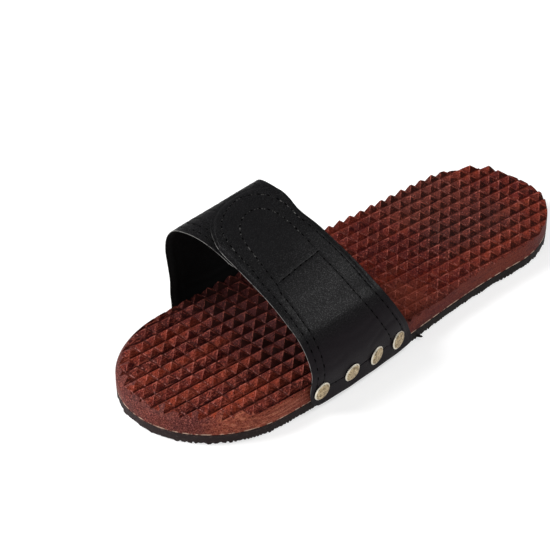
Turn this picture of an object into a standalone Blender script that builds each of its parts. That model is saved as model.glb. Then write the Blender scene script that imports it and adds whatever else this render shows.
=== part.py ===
"""Massage slipper for the left foot.

A rubber outsole, a wooden footbed cut into pyramid studs, a leather strap in two halves that closes
with a round flap over a hook-and-loop pad, and brass nails that hold the strap to the wood.
Metres, +Z up. The toe points to -Y, the outer (lateral) side to +X, and the sole stands on z = 0.
"""

import math
from collections import namedtuple

import bmesh
import bpy
from mathutils import Matrix, Vector

# Gap left wherever two pieces meet
CLEARANCE = 0.0003

# Sole outline, seen from above
LENGTH = 0.272
BALL_WIDTH = 0.092
HEEL_WIDTH = 0.0785
TOE_CAP_LENGTH = 0.050
HEEL_CAP_LENGTH = 0.049
# 2 is an ellipse, and more is squarer
TOE_SQUARENESS = 2.0
HEEL_LATERAL_SQUARENESS = 1.88
HEEL_MEDIAL_SQUARENESS = 2.9
SIDE_TAPER_START = -0.071
SIDE_TAPER_END = 0.079
MEDIAL_TAPER = 0.001
# Places the middle of the forefoot so that the whole slipper is centred on x = 0
FOREFOOT_X = 0.0011

# Heights of the sole
OUTSOLE_THICKNESS = 0.0052
OUTSOLE_EDGE_BREAK = 0.0005
WOOD_THICKNESS = 0.0073
STUD_HEIGHT = 0.0030
STUD_PITCH_X = 0.00711
STUD_PITCH_Y = 0.00742
STUD_COUNT_X = 18
STUD_COUNT_Y = 42
STUD_ORIGIN = (0.0012, 0.0014)
STUD_GRID_TURN = math.radians(-0.4)
# The sanded rim is widest and lowest at the toe's tip, and narrow from RIM_FADE_END to the heel
RIM_FADE_END = -0.030
TOE_RIM_WIDTH = 0.0110
HEEL_RIM_WIDTH = 0.0010
TOE_RIM_DROP = 0.0022
HEEL_RIM_DROP = 0.0005
TOE_RIM_SQUARENESS = 1.45
HEEL_RIM_SQUARENESS = 2.0
CROWN_CLEARANCE = 0.0005

# Leather strap and its fastening
STRAP_THICKNESS = 0.0014
TAPE_THICKNESS = 0.0008
HEM_CORNER = 0.005
HEM_SQUARENESS = 7
FLAP_TIP = 0.1185
FLAP_ROUND = 0.023
FLAP_SKEW = 0.012
FLAP_WIDTH = 0.051
MEDIAL_END = 0.062
CLIMB_START = 0.044
CLIMB_END = 0.060
TAPE_START = 0.066
TAPE_INSET = 0.0045

# Brass nails
NAIL_HEAD_RADIUS = 0.0049
NAIL_HEAD_HEIGHT = 0.0018
NAIL_RIM_HEIGHT = 0.0005
NAIL_DOME_SHARES = (0.45, 0.8)
NAIL_SHANK_RADIUS = 0.0010
NAIL_SHANK_LENGTH = 0.0125
NAIL_POINT_LENGTH = 0.0015
NAIL_HEIGHT = 0.0100
LATERAL_NAIL_Y = (-0.0645, -0.0443, -0.0269, -0.0108)
MEDIAL_NAIL_Y = (-0.0670, -0.0495, -0.0320, -0.0145)

# Facets
CAP_STEPS = 24
SIDE_STEPS = 26
RIM_STEPS = 4
STRAP_STEPS_ALONG = 34
STRAP_STEPS_ACROSS = 10
NAIL_STEPS = 14
SHARP_ANGLE = math.radians(40.0)
MERGE_DISTANCE = 1e-6
# Half the stretch over which a slope is taken
SLOPE_STEP = 0.0005

Finish = namedtuple("Finish", "colour roughness metallic")
RUBBER = Finish((0.020, 0.018, 0.018), 0.8, 0.0)
WOOD = Finish((0.150, 0.030, 0.018), 0.55, 0.0)
LEATHER = Finish((0.012, 0.012, 0.014), 0.5, 0.0)
TAPE = Finish((0.010, 0.010, 0.010), 0.9, 0.0)
BRASS = Finish((0.52, 0.46, 0.28), 0.35, 1.0)

JOINT_HEIGHT = OUTSOLE_THICKNESS + CLEARANCE
GROOVE_HEIGHT = JOINT_HEIGHT + WOOD_THICKNESS
STUD_TOP = GROOVE_HEIGHT + STUD_HEIGHT
BALL_HALF = BALL_WIDTH / 2
HEEL_LATERAL = HEEL_WIDTH - BALL_HALF + MEDIAL_TAPER
TOE_CAP_Y = -LENGTH / 2 + TOE_CAP_LENGTH
HEEL_CAP_Y = LENGTH / 2 - HEEL_CAP_LENGTH
# From the strap's inner face to the inner face of the flap that lies over it
FLAP_LIFT = STRAP_THICKNESS + TAPE_THICKNESS + 2 * CLEARANCE

# The strap's inner face, one row for each section along the arch from the lateral hem to the medial hem.
# reach: x from the middle of the forefoot. height: z. follow: 1 where it runs along the sole's side.
# front, rear: y of the strap's two edges. rise: how much higher the rear edge lies.
ArchRow = namedtuple("ArchRow", "reach height follow front rear rise")
ARCH = (
    ArchRow(0.0463, 0.0018, 1.0, -0.0695, 0.0020, 0.0000),
    ArchRow(0.0463, 0.0090, 1.0, -0.0713, -0.0005, 0.0000),
    ArchRow(0.0463, 0.0160, 1.0, -0.0718, -0.0040, 0.0000),
    ArchRow(0.0458, 0.0225, 1.0, -0.0710, -0.0075, 0.0000),
    ArchRow(0.0438, 0.0295, 0.9, -0.0710, -0.0110, 0.0000),
    ArchRow(0.0388, 0.0355, 0.8, -0.0710, -0.0138, 0.0000),
    ArchRow(0.0320, 0.0395, 0.7, -0.0710, -0.0152, 0.0000),
    ArchRow(0.0225, 0.0440, 0.4, -0.0710, -0.0168, 0.0005),
    ArchRow(0.0100, 0.0485, 0.2, -0.0710, -0.0185, 0.0015),
    ArchRow(-0.0025, 0.0530, 0.0, -0.0712, -0.0203, 0.0025),
    ArchRow(-0.0150, 0.0573, 0.0, -0.0720, -0.0217, 0.0019),
    ArchRow(-0.0273, 0.0597, 0.0, -0.0730, -0.0204, 0.0037),
    ArchRow(-0.0375, 0.0590, 0.0, -0.0738, -0.0199, 0.0047),
    ArchRow(-0.0450, 0.0562, 0.0, -0.0740, -0.0193, 0.0056),
    ArchRow(-0.0492, 0.0506, 0.0, -0.0741, -0.0188, 0.0054),
    ArchRow(-0.0506, 0.0434, 0.0, -0.0740, -0.0176, 0.0036),
    ArchRow(-0.0493, 0.0340, 0.2, -0.0738, -0.0150, 0.0015),
    ArchRow(-0.0473, 0.0240, 0.6, -0.0738, -0.0110, 0.0000),
    ArchRow(-0.0463, 0.0160, 1.0, -0.0742, -0.0080, 0.0000),
    ArchRow(-0.0463, 0.0090, 1.0, -0.0742, -0.0060, 0.0000),
    ArchRow(-0.0463, 0.0018, 1.0, -0.0725, -0.0050, 0.0000),
)


def smoothstep(start, end, value):
    """0 before start, 1 after end, and a smooth ramp between them."""
    t = min(1.0, max(0.0, (value - start) / (end - start)))
    return t * t * (3.0 - 2.0 * t)


def lateral_x(y):
    """x of the sole's outer side at y."""
    taper = smoothstep(SIDE_TAPER_START, SIDE_TAPER_END, y)
    return FOREFOOT_X + BALL_HALF - (BALL_HALF - HEEL_LATERAL) * taper


def medial_x(y):
    """x of the sole's inner side at y."""
    taper = smoothstep(SIDE_TAPER_START, SIDE_TAPER_END, y)
    return FOREFOOT_X - BALL_HALF + MEDIAL_TAPER * taper


def cap_point(angle, half_width, length, squareness):
    """A point of a rounded end, with x across the sole and y away from its middle."""
    cosine, sine = math.cos(angle), math.sin(angle)
    power = 2.0 / squareness
    return half_width * math.copysign(abs(cosine) ** power, cosine), length * abs(sine) ** power


def sole_outline():
    """The sole's outline, counter-clockwise from the toe's inner side."""
    points = []
    for i in range(CAP_STEPS):
        x, y = cap_point(math.pi * (1.0 - i / CAP_STEPS), BALL_HALF, TOE_CAP_LENGTH, TOE_SQUARENESS)
        points.append((FOREFOOT_X + x, TOE_CAP_Y - y))
    side = [TOE_CAP_Y + (HEEL_CAP_Y - TOE_CAP_Y) * i / SIDE_STEPS for i in range(SIDE_STEPS)]
    points += [(lateral_x(y), y) for y in side]
    heel_x = (lateral_x(HEEL_CAP_Y) + medial_x(HEEL_CAP_Y)) / 2
    heel_half = (lateral_x(HEEL_CAP_Y) - medial_x(HEEL_CAP_Y)) / 2
    for i in range(CAP_STEPS):
        squareness = HEEL_LATERAL_SQUARENESS if i < CAP_STEPS / 2 else HEEL_MEDIAL_SQUARENESS
        x, y = cap_point(math.pi * i / CAP_STEPS, heel_half, HEEL_CAP_LENGTH, squareness)
        points.append((heel_x + x, HEEL_CAP_Y + y))
    points += [(medial_x(y), y) for y in (TOE_CAP_Y + HEEL_CAP_Y - y for y in side)]
    return [Vector(point) for point in points]


def inset_outline(outline, widths):
    """The outline moved inwards by a width for each of its points."""
    moved = []
    for i, point in enumerate(outline):
        along = outline[(i + 1) % len(outline)] - outline[i - 1]
        inward = Vector((-along.y, along.x)).normalized()
        moved.append(point + inward * widths[i])
    return moved


def make_material(name, finish):
    material = bpy.data.materials.new(name)
    material.use_nodes = True
    shader = material.node_tree.nodes["Principled BSDF"]
    shader.inputs["Base Color"].default_value = (*finish.colour, 1.0)
    shader.inputs["Roughness"].default_value = finish.roughness
    shader.inputs["Metallic"].default_value = finish.metallic
    return material


def add_object(name, bm, material, parent):
    """A mesh object from a bmesh, with its material."""
    mesh = bpy.data.meshes.new(name)
    bm.to_mesh(mesh)
    bm.free()
    mesh.materials.append(material)
    obj = bpy.data.objects.new(name, mesh)
    bpy.context.scene.collection.objects.link(obj)
    obj.parent = parent
    return obj


def hide_cutter(obj):
    obj.hide_render = True
    obj.display_type = "WIRE"
    return obj


def add_boolean(obj, cutter, operation):
    modifier = obj.modifiers.new(cutter.name, "BOOLEAN")
    modifier.operation = operation
    modifier.solver = "EXACT"
    modifier.object = cutter


def loft(rings):
    """A closed bmesh through rings of points, capped at both ends."""
    bm = bmesh.new()
    loops = []
    for ring in rings:
        verts = [bm.verts.new(point) for point in ring]
        edges = [bm.edges.new((verts[i - 1], verts[i])) for i in range(len(verts))]
        loops.append(edges)
    for lower, upper in zip(loops, loops[1:]):
        bmesh.ops.bridge_loops(bm, edges=lower + upper)
    for loop in (loops[0], loops[-1]):
        bmesh.ops.contextual_create(bm, geom=loop)
    bmesh.ops.recalc_face_normals(bm, faces=bm.faces)
    return bm


def ring_at(outline, widths, height):
    return [(point.x, point.y, height) for point in inset_outline(outline, widths)]


def make_outsole(outline, material, parent):
    """A flat rubber sheet whose lower edge is slightly broken."""
    flush = [0.0] * len(outline)
    broken = [OUTSOLE_EDGE_BREAK] * len(outline)
    rings = [
        ring_at(outline, broken, 0.0),
        ring_at(outline, flush, OUTSOLE_EDGE_BREAK),
        ring_at(outline, flush, OUTSOLE_THICKNESS),
    ]
    return add_object("outsole", loft(rings), material, parent)


def rim_ring(outline, angle):
    """The board's outline at one angle of its sanded rim, from 0 at its side to 90 degrees on its top."""
    tops, widths = [], []
    for point in outline:
        toe = 1.0 - smoothstep(-LENGTH / 2, RIM_FADE_END, point.y)
        drop = HEEL_RIM_DROP + (TOE_RIM_DROP - HEEL_RIM_DROP) * toe
        width = HEEL_RIM_WIDTH + (TOE_RIM_WIDTH - HEEL_RIM_WIDTH) * toe
        power = 2.0 / (HEEL_RIM_SQUARENESS + (TOE_RIM_SQUARENESS - HEEL_RIM_SQUARENESS) * toe)
        crown = STUD_HEIGHT + drop + CROWN_CLEARANCE
        tops.append(GROOVE_HEIGHT - drop + crown * math.sin(angle) ** power)
        widths.append(width * (1.0 - max(0.0, math.cos(angle)) ** power))
    moved = inset_outline(outline, widths)
    return [(point.x, point.y, top) for point, top in zip(moved, tops)]


def make_stud_block(material, parent):
    """A slab with a pyramid on each cell of its grid, which the sanded board is cut from."""
    bm = bmesh.new()
    bmesh.ops.create_grid(bm, x_segments=STUD_COUNT_X, y_segments=STUD_COUNT_Y, size=0.5)
    size = (STUD_COUNT_X * STUD_PITCH_X, STUD_COUNT_Y * STUD_PITCH_Y, 1.0)
    bmesh.ops.scale(bm, verts=bm.verts, vec=size)
    bmesh.ops.poke(bm, faces=bm.faces, offset=STUD_HEIGHT)
    rim = [edge for edge in bm.edges if edge.is_boundary]
    lower = bmesh.ops.extrude_edge_only(bm, edges=rim)["geom"]
    lower_verts = [item for item in lower if isinstance(item, bmesh.types.BMVert)]
    bmesh.ops.translate(bm, verts=lower_verts, vec=(0.0, 0.0, -GROOVE_HEIGHT))
    bmesh.ops.contextual_create(bm, geom=[edge for edge in bm.edges if edge.is_boundary])
    bmesh.ops.recalc_face_normals(bm, faces=bm.faces)
    block = add_object("stud_block", bm, material, parent)
    block.location = (FOREFOOT_X + STUD_ORIGIN[0], STUD_ORIGIN[1], GROOVE_HEIGHT)
    block.rotation_euler = (0.0, 0.0, STUD_GRID_TURN)
    return hide_cutter(block)


def make_footbed(outline, material, parent):
    """A board with a sanded rim, cut into studs on its top."""
    flush = [0.0] * len(outline)
    rings = [ring_at(outline, flush, JOINT_HEIGHT)]
    rings += [rim_ring(outline, math.pi / 2 * i / RIM_STEPS) for i in range(RIM_STEPS + 1)]
    footbed = add_object("footbed", loft(rings), material, parent)
    add_boolean(footbed, make_stud_block(material, parent), "INTERSECT")
    return footbed


def arch_lengths():
    """Distance along the arch at each of its rows."""
    lengths = [0.0]
    for before, after in zip(ARCH, ARCH[1:]):
        lengths.append(lengths[-1] + math.hypot(after.reach - before.reach, after.height - before.height))
    return lengths


ARCH_LENGTHS = arch_lengths()
ARCH_LENGTH = ARCH_LENGTHS[-1]


def arch_section(distance):
    """The arch's row at a distance along it, on a smooth curve through the table."""
    distance = min(max(distance, 0.0), ARCH_LENGTH)
    i = 0
    while i < len(ARCH) - 2 and distance > ARCH_LENGTHS[i + 1]:
        i += 1
    span = ARCH_LENGTHS[i + 1] - ARCH_LENGTHS[i]
    t = (distance - ARCH_LENGTHS[i]) / span

    def slope(k, column):
        low, high = max(k - 1, 0), min(k + 1, len(ARCH) - 1)
        return (ARCH[high][column] - ARCH[low][column]) / (ARCH_LENGTHS[high] - ARCH_LENGTHS[low])

    values = []
    for column in range(len(ArchRow._fields)):
        start, end = ARCH[i][column], ARCH[i + 1][column]
        values.append(
            start * (1.0 + 2.0 * t) * (1.0 - t) ** 2
            + end * t * t * (3.0 - 2.0 * t)
            + span * slope(i, column) * t * (1.0 - t) ** 2
            - span * slope(i + 1, column) * t * t * (1.0 - t)
        )
    return ArchRow(*values)


def strap_face(distance, across):
    """A point of the strap's inner face: along the arch, and across from its front edge to its rear."""
    row = arch_section(distance)
    y = row.front + (row.rear - row.front) * across
    side_x = lateral_x if row.reach > 0.0 else medial_x
    x = FOREFOOT_X + row.reach + row.follow * (side_x(y) - side_x(TOE_CAP_Y))
    return Vector((x, y, row.height + row.rise * across))


def strap_point(distance, across, lift):
    """A point at a height over the strap's inner face."""
    along = strap_face(distance + SLOPE_STEP, across) - strap_face(distance - SLOPE_STEP, across)
    aside = strap_face(distance, across + SLOPE_STEP) - strap_face(distance, across - SLOPE_STEP)
    return strap_face(distance, across) + aside.cross(along).normalized() * lift


def round_end(across, squareness):
    """How far an end with rounded corners falls back, from 0 in the middle to 1 at the strap's edges."""
    return 1.0 - (1.0 - abs(2.0 * across - 1.0) ** squareness) ** (1.0 / squareness)


def strap_sheet(name, start, end, lift, thickness, margin, material, parent):
    """A sheet of the strap between two ends, which are functions of the place across."""
    bm = bmesh.new()
    bmesh.ops.create_grid(bm, x_segments=STRAP_STEPS_ALONG, y_segments=STRAP_STEPS_ACROSS, size=0.5)
    for vert in bm.verts:
        across = (1.0 + math.sin(math.pi * vert.co.y)) / 2
        distance = start(across) + (end(across) - start(across)) * (vert.co.x + 0.5)
        vert.co = strap_point(distance, margin + (1.0 - 2.0 * margin) * across, lift(distance))
    # Along the arch and then across turns the grid's faces inwards
    bmesh.ops.reverse_faces(bm, faces=bm.faces)
    sheet = add_object(name, bm, material, parent)
    sheet.data.shade_smooth()
    wall = sheet.modifiers.new("wall", "SOLIDIFY")
    wall.thickness = thickness
    wall.offset = 1.0
    wall.use_even_offset = True
    return sheet


def flap_end(across):
    """Where the flap's round end lies along the arch."""
    return FLAP_TIP + FLAP_SKEW * (across - 0.5) - FLAP_ROUND * round_end(across, 2)


def flap_lift(distance):
    """The lateral half climbs over the end of the medial half."""
    return FLAP_LIFT * smoothstep(CLIMB_START, CLIMB_END, distance)


def make_straps(material, tape_material, parent):
    """Both halves of the strap and the pad that fastens them."""
    lateral = strap_sheet(
        "strap_lateral",
        lambda across: HEM_CORNER * round_end(across, HEM_SQUARENESS),
        flap_end,
        flap_lift,
        STRAP_THICKNESS,
        0.0,
        material,
        parent,
    )
    medial = strap_sheet(
        "strap_medial",
        lambda across: MEDIAL_END,
        lambda across: ARCH_LENGTH - HEM_CORNER * round_end(across, HEM_SQUARENESS),
        lambda distance: 0.0,
        STRAP_THICKNESS,
        0.0,
        material,
        parent,
    )
    tape = strap_sheet(
        "fastening_tape",
        lambda across: TAPE_START,
        lambda across: flap_end(across) - TAPE_INSET,
        lambda distance: STRAP_THICKNESS + CLEARANCE,
        TAPE_THICKNESS,
        TAPE_INSET / FLAP_WIDTH,
        tape_material,
        parent,
    )
    return lateral, medial, tape


def nail_mesh(material):
    """A nail about Z: a low domed head over z = 0 and a pointed shank under it."""
    bm = bmesh.new()
    dome = [(0.0, NAIL_HEAD_HEIGHT)]
    for share in NAIL_DOME_SHARES:
        height = NAIL_RIM_HEIGHT + (NAIL_HEAD_HEIGHT - NAIL_RIM_HEIGHT) * math.sqrt(1.0 - share * share)
        dome.append((share * NAIL_HEAD_RADIUS, height))
    shank = [
        (NAIL_HEAD_RADIUS, NAIL_RIM_HEIGHT),
        (NAIL_HEAD_RADIUS, 0.0),
        (NAIL_SHANK_RADIUS, 0.0),
        (NAIL_SHANK_RADIUS, -NAIL_SHANK_LENGTH + NAIL_POINT_LENGTH),
        (0.0, -NAIL_SHANK_LENGTH),
    ]
    verts = [bm.verts.new((radius, 0.0, height)) for radius, height in dome + shank]
    edges = [bm.edges.new(pair) for pair in zip(verts, verts[1:])]
    bmesh.ops.spin(
        bm,
        geom=verts + edges,
        cent=(0.0, 0.0, 0.0),
        axis=(0.0, 0.0, 1.0),
        angle=2.0 * math.pi,
        steps=NAIL_STEPS,
        use_merge=True,
    )
    bmesh.ops.remove_doubles(bm, verts=bm.verts, dist=MERGE_DISTANCE)
    bmesh.ops.recalc_face_normals(bm, faces=bm.faces)
    mesh = bpy.data.meshes.new("nail")
    bm.to_mesh(mesh)
    bm.free()
    mesh.shade_smooth()
    mesh.set_sharp_from_angle(angle=SHARP_ANGLE)
    mesh.materials.append(material)
    return mesh


def nail_frame(side_x, outward, y):
    """Where a nail's head sits on the strap, with its Z pointing out of the sole's side."""
    slope = (side_x(y + SLOPE_STEP) - side_x(y - SLOPE_STEP)) / (2.0 * SLOPE_STEP)
    normal = Vector((outward, -outward * slope, 0.0)).normalized()
    seat = Vector((side_x(y), y, NAIL_HEIGHT)) + normal * (STRAP_THICKNESS + 2.0 * CLEARANCE)
    return Matrix.Translation(seat) @ normal.to_track_quat("Z", "Y").to_matrix().to_4x4()


def make_nails(side, frames, mesh, parent):
    """One side's nails, as objects that share a mesh."""
    for i, frame in enumerate(frames):
        nail = bpy.data.objects.new(f"nail_{side}_{i + 1}", mesh)
        bpy.context.scene.collection.objects.link(nail)
        nail.parent = parent
        nail.matrix_local = frame


def make_nail_holes(side, frames, material, parent):
    """Clearance holes for one side's nails, through the strap and into the wood."""
    bm = bmesh.new()
    depth = NAIL_SHANK_LENGTH + 2.0 * CLEARANCE
    for frame in frames:
        bmesh.ops.create_cone(
            bm,
            cap_ends=True,
            segments=NAIL_STEPS,
            radius1=NAIL_SHANK_RADIUS + CLEARANCE,
            radius2=NAIL_SHANK_RADIUS + CLEARANCE,
            depth=depth,
            matrix=frame @ Matrix.Translation((0.0, 0.0, CLEARANCE - depth / 2.0)),
        )
    bmesh.ops.recalc_face_normals(bm, faces=bm.faces)
    return hide_cutter(add_object(f"nail_holes_{side}", bm, material, parent))


def main():
    for obj in list(bpy.data.objects):
        bpy.data.objects.remove(obj)
    slipper = bpy.data.objects.new("slipper", None)
    bpy.context.scene.collection.objects.link(slipper)

    rubber = make_material("black_rubber", RUBBER)
    wood = make_material("red_brown_wood", WOOD)
    leather = make_material("black_leather", LEATHER)
    tape = make_material("black_tape", TAPE)
    brass = make_material("old_brass", BRASS)

    outline = sole_outline()
    make_outsole(outline, rubber, slipper)
    footbed = make_footbed(outline, wood, slipper)
    strap_lateral, strap_medial, _ = make_straps(leather, tape, slipper)
    nail = nail_mesh(brass)
    sides = (
        ("lateral", strap_lateral, lateral_x, 1.0, LATERAL_NAIL_Y),
        ("medial", strap_medial, medial_x, -1.0, MEDIAL_NAIL_Y),
    )
    for side, strap, side_x, outward, places in sides:
        frames = [nail_frame(side_x, outward, y) for y in places]
        make_nails(side, frames, nail, slipper)
        holes = make_nail_holes(side, frames, brass, slipper)
        add_boolean(footbed, holes, "DIFFERENCE")
        add_boolean(strap, holes, "DIFFERENCE")


main()
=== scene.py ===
"""Massage slipper for the left foot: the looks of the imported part.

Studded wood, a ribbed rubber sheet, a stitched leather strap and brass nails stand for the CAD nodes.
Metres, +Z up. The toe points to -Y, the outer (lateral) side to +X, and the sole stands on z = 0.
"""

import math
import random
from collections import namedtuple
from types import SimpleNamespace

import bmesh
import bpy
from bpy.props import FloatProperty, FloatVectorProperty, IntProperty, PointerProperty
from mathutils import Matrix, Vector, noise
from mathutils.kdtree import KDTree


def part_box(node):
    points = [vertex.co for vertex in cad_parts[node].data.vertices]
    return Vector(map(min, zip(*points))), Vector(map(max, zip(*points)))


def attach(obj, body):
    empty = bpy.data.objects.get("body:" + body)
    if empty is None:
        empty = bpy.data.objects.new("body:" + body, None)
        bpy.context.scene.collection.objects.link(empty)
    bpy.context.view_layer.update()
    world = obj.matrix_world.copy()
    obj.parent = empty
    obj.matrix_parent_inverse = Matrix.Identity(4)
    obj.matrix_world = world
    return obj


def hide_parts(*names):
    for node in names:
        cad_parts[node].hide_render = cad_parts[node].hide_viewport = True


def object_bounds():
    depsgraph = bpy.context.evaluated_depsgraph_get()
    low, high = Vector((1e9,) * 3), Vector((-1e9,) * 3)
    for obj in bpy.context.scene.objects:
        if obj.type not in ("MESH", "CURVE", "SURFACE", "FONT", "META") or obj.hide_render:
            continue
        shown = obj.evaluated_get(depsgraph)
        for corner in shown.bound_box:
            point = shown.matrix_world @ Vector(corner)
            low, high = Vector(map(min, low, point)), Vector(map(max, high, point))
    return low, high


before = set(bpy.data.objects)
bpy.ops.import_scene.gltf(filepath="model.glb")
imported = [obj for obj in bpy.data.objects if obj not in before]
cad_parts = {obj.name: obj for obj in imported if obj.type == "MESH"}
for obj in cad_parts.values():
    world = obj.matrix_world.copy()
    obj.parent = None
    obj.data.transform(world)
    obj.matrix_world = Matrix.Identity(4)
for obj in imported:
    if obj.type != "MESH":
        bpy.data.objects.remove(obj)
CAD_BOX = [list(corner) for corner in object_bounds()]

bl_info = {
    "name": "Massage slipper",
    "version": (1, 0, 0),
    "blender": (4, 5, 0),
    "location": "View3D > Sidebar > Slipper",
    "description": "Dresses the packed slipper in studded wood, rubber, stitched leather and brass",
    "category": "Object",
}

BODY = "root"
STUD_SEED, TREAD_SEED, CUT_SEED, NAIL_SEED = 11, 5, 3, 17
CUT_TOLERANCE = 0.0005

# Heights of the sole's layers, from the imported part
OUTSOLE_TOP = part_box("outsole")[1].z
BOARD_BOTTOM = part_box("footbed")[0].z
STUD_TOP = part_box("footbed")[1].z

# Sole outline, seen from above. A squareness of 2 is an ellipse, and more is squarer
LENGTH = CAD_BOX[1][1] - CAD_BOX[0][1]
BALL_HALF = 0.046
HEEL_LATERAL = 0.0335
MEDIAL_TAPER = 0.001
FOREFOOT_X = 0.0011
TOE_CAP_LENGTH = 0.050
HEEL_CAP_LENGTH = 0.049
TOE_SQUARENESS = 2.0
HEEL_LATERAL_SQUARENESS = 1.88
HEEL_MEDIAL_SQUARENESS = 2.9
SIDE_TAPER_START = -0.071
SIDE_TAPER_END = 0.079
TOE_CAP_Y = -LENGTH / 2 + TOE_CAP_LENGTH
HEEL_CAP_Y = LENGTH / 2 - HEEL_CAP_LENGTH
CAP_STEPS = 72
SIDE_STEPS = 64

# Stud grid
STUD_COUNT_X = 18
STUD_COUNT_Y = 42
STUD_CENTRE = (0.0023, 0.0014)
STUD_GRID_TURN = math.radians(-0.4)
# Dark and light bands of the wood at the toe: the place of one, and the pitch
BAND_PLACE = 0.012
BAND_PITCH = 0.0195
# The saw cuts show at the toe, and reach further back on the outer side
KERF_FADE_START = -0.112
KERF_FADE_END = -0.084
KERF_OUTER_FADE = 0.040
KERF_OUTER_SIDE = 0.030
KERF_LEAST = 0.16
# Squared shares of the toe cap's size between which the saw cuts run out
KERF_RIM_START = 0.50
KERF_RIM_END = 0.72
# A few points are chipped, and all are worn down a little and roughened
CHIP_RARITY = 14
CHIP_SHARE = 0.5
WORN_DOWN = 0.8
RAISED_SHARE = 0.2
STUD_GRAIN = 650.0
STUD_SHARP_ANGLE = math.radians(28.0)
RIM_STEPS = 10
# The sanded rim is widest and lowest at the toe's tip, and narrow from RIM_FADE_END to the heel
RIM_FADE_END = -0.030
TOE_RIM_DROP = 0.0022
HEEL_RIM_DROP = 0.0005
TOE_RIM_SQUARENESS = 1.45
HEEL_RIM_SQUARENESS = 2.0
CROWN_CLEARANCE = 0.0005

# Tread of the outsole: least and most of a rib's pitch, foot and groove, as shares of its pitch and depth
RIB_PITCHES = (0.62, 1.35)
RIB_FEET = (0.0, 0.30)
RIB_GROOVES = (0.65, 1.25)
# Shares of a rib's pitch where its groove ends, and where its foot starts and ends
RIB_PROFILE = (0.22, 0.40, 0.82)
RIB_WAVE = 0.0007
RIB_WAVE_LENGTH = 0.016
RIB_CUTS = 15
TREAD_HALF = 0.06
# The outsole's side is cut rough, and its lower edge is torn
ROUGH_CUT = 0.0004
ROUGH_CUT_HEIGHT = 0.0012
TORN_EDGE = 0.0011
OUTSOLE_SHARP_ANGLE = math.radians(35.0)
# A burr of rubber that the cutter left on the outer side
BURR_PLACE = (0.0406, 0.0080, 0.0014)
BURR_SIZE = (0.0025, 0.0008, 0.0006)
BURR_TURN = math.radians(28.0)

# Strap
STRAP_STEPS = (210, 110)
PAD_STEPS = (60, 40)
FLAP_TIP = 0.1185
FLAP_ROUND = 0.023
FLAP_SKEW = 0.012
FLAP_WIDTH = 0.051
FLAP_LIFT = 0.0028
MEDIAL_END = 0.062
CLIMB_START = 0.030
CLIMB_END = 0.070
TAPE_START = 0.066
TAPE_INSET = 0.0045
TAPE_LIFT = 0.0017
HEM_CORNER = 0.005
HEM_SQUARENESS = 7
EDGE_BEVEL = 0.00012
EDGE_BEVEL_ANGLE = math.radians(55.0)
# The leather is thinned from inside towards its long edges and the flap's end
SKIVING = "share of the thickness"
SKIVED_SHARE = 0.25
SKIVED_WIDTH = 0.0030
SLOPE_STEP = 0.0005
# Crowding of the sheets' grid towards the strap's edges
EDGE_CROWDING = 0.35
# The flap's edges are pressed down to the half under it, which is a little narrower there
PRESSED_EDGE = 0.0012
PRESSED_END = 0.0004
PRESSED_WIDTH = 0.0045
TUCK = 0.0016
FRONT_TUCK_END = 0.088
REAR_TUCK_END = 0.100
TUCK_FADE = 0.008
# Between its nailed hem and its shoulder the leather stands off the sole
SIDE_BULGE = 0.0013
SIDE_BULGE_PLACE = 0.0175
SIDE_BULGE_SPREAD = 0.0070
HEM_SLACK = 0.0005
HEM_SCALLOP = 0.0008
HEM_SLACK_REACH = 0.012
NAIL_HOLD = 0.0050
LEATHER_WAVE = 0.00010
LEATHER_WAVES = 55.0
WAVE_FADE = (0.012, 0.030)

# Nails
NAIL_SEAT = 0.0021
NAIL_HEIGHT = 0.0104
NAIL_SHARP_ANGLE = math.radians(50.0)
NAIL_LEAN_DEGREES = 3.0
# The domed head over its rolled rim, as shares of the head's radius and height
DOME_SHARES = (0.2, 0.4, 0.58, 0.72, 0.83)
DOME_FOOT = 0.34
DOME_POWER = 2.2
ROLLED_RIM = ((0.90, 0.44), (0.95, 0.40), (0.99, 0.28), (1.0, 0.14), (0.985, 0.02), (0.94, 0.0))
SHANK_RADIUS = 0.001
SHANK_POINT = 0.0015
NAIL_MERGE = 1e-6
HAMMERED_FROM = 0.2
HAMMER_DEPTH = 0.00007
HAMMER_MARKS = 900.0
# The rim's painted highlight, kept in the mesh, and the shares of the head's radius over which it grows
NAIL_RIM_HIGHLIGHT = "rim"
RIM_HIGHLIGHT_START = 0.62
RIM_HIGHLIGHT_FULL = 0.95
LATERAL_NAIL_Y = (-0.0645, -0.0443, -0.0269, -0.0108)
MEDIAL_NAIL_Y = (-0.0670, -0.0495, -0.0320, -0.0145)
# How far each head looks down and to the heel, from the first nail at the toe
NAIL_DROOPS = tuple(math.radians(angle) for angle in (9.0, 8.0, 4.0, 1.0))
NAIL_TURNS = tuple(math.radians(angle) for angle in (0.0, 2.0, 5.0, 9.0))

# Stage: the floor, the camera's sensor in millimetres, and the lights, which all look at the origin
FLOOR_HALF = 6.0
SENSOR_WIDTH = 36.0
Lamp = namedtuple("Lamp", "name size place")
LAMPS = (
    Lamp("key", 0.9, (-0.95, -0.95, 1.15)),
    Lamp("sheen", 0.5, (0.36, 0.78, 1.05)),
    Lamp("front", 0.6, (0.25, -1.20, 0.55)),
)

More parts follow.
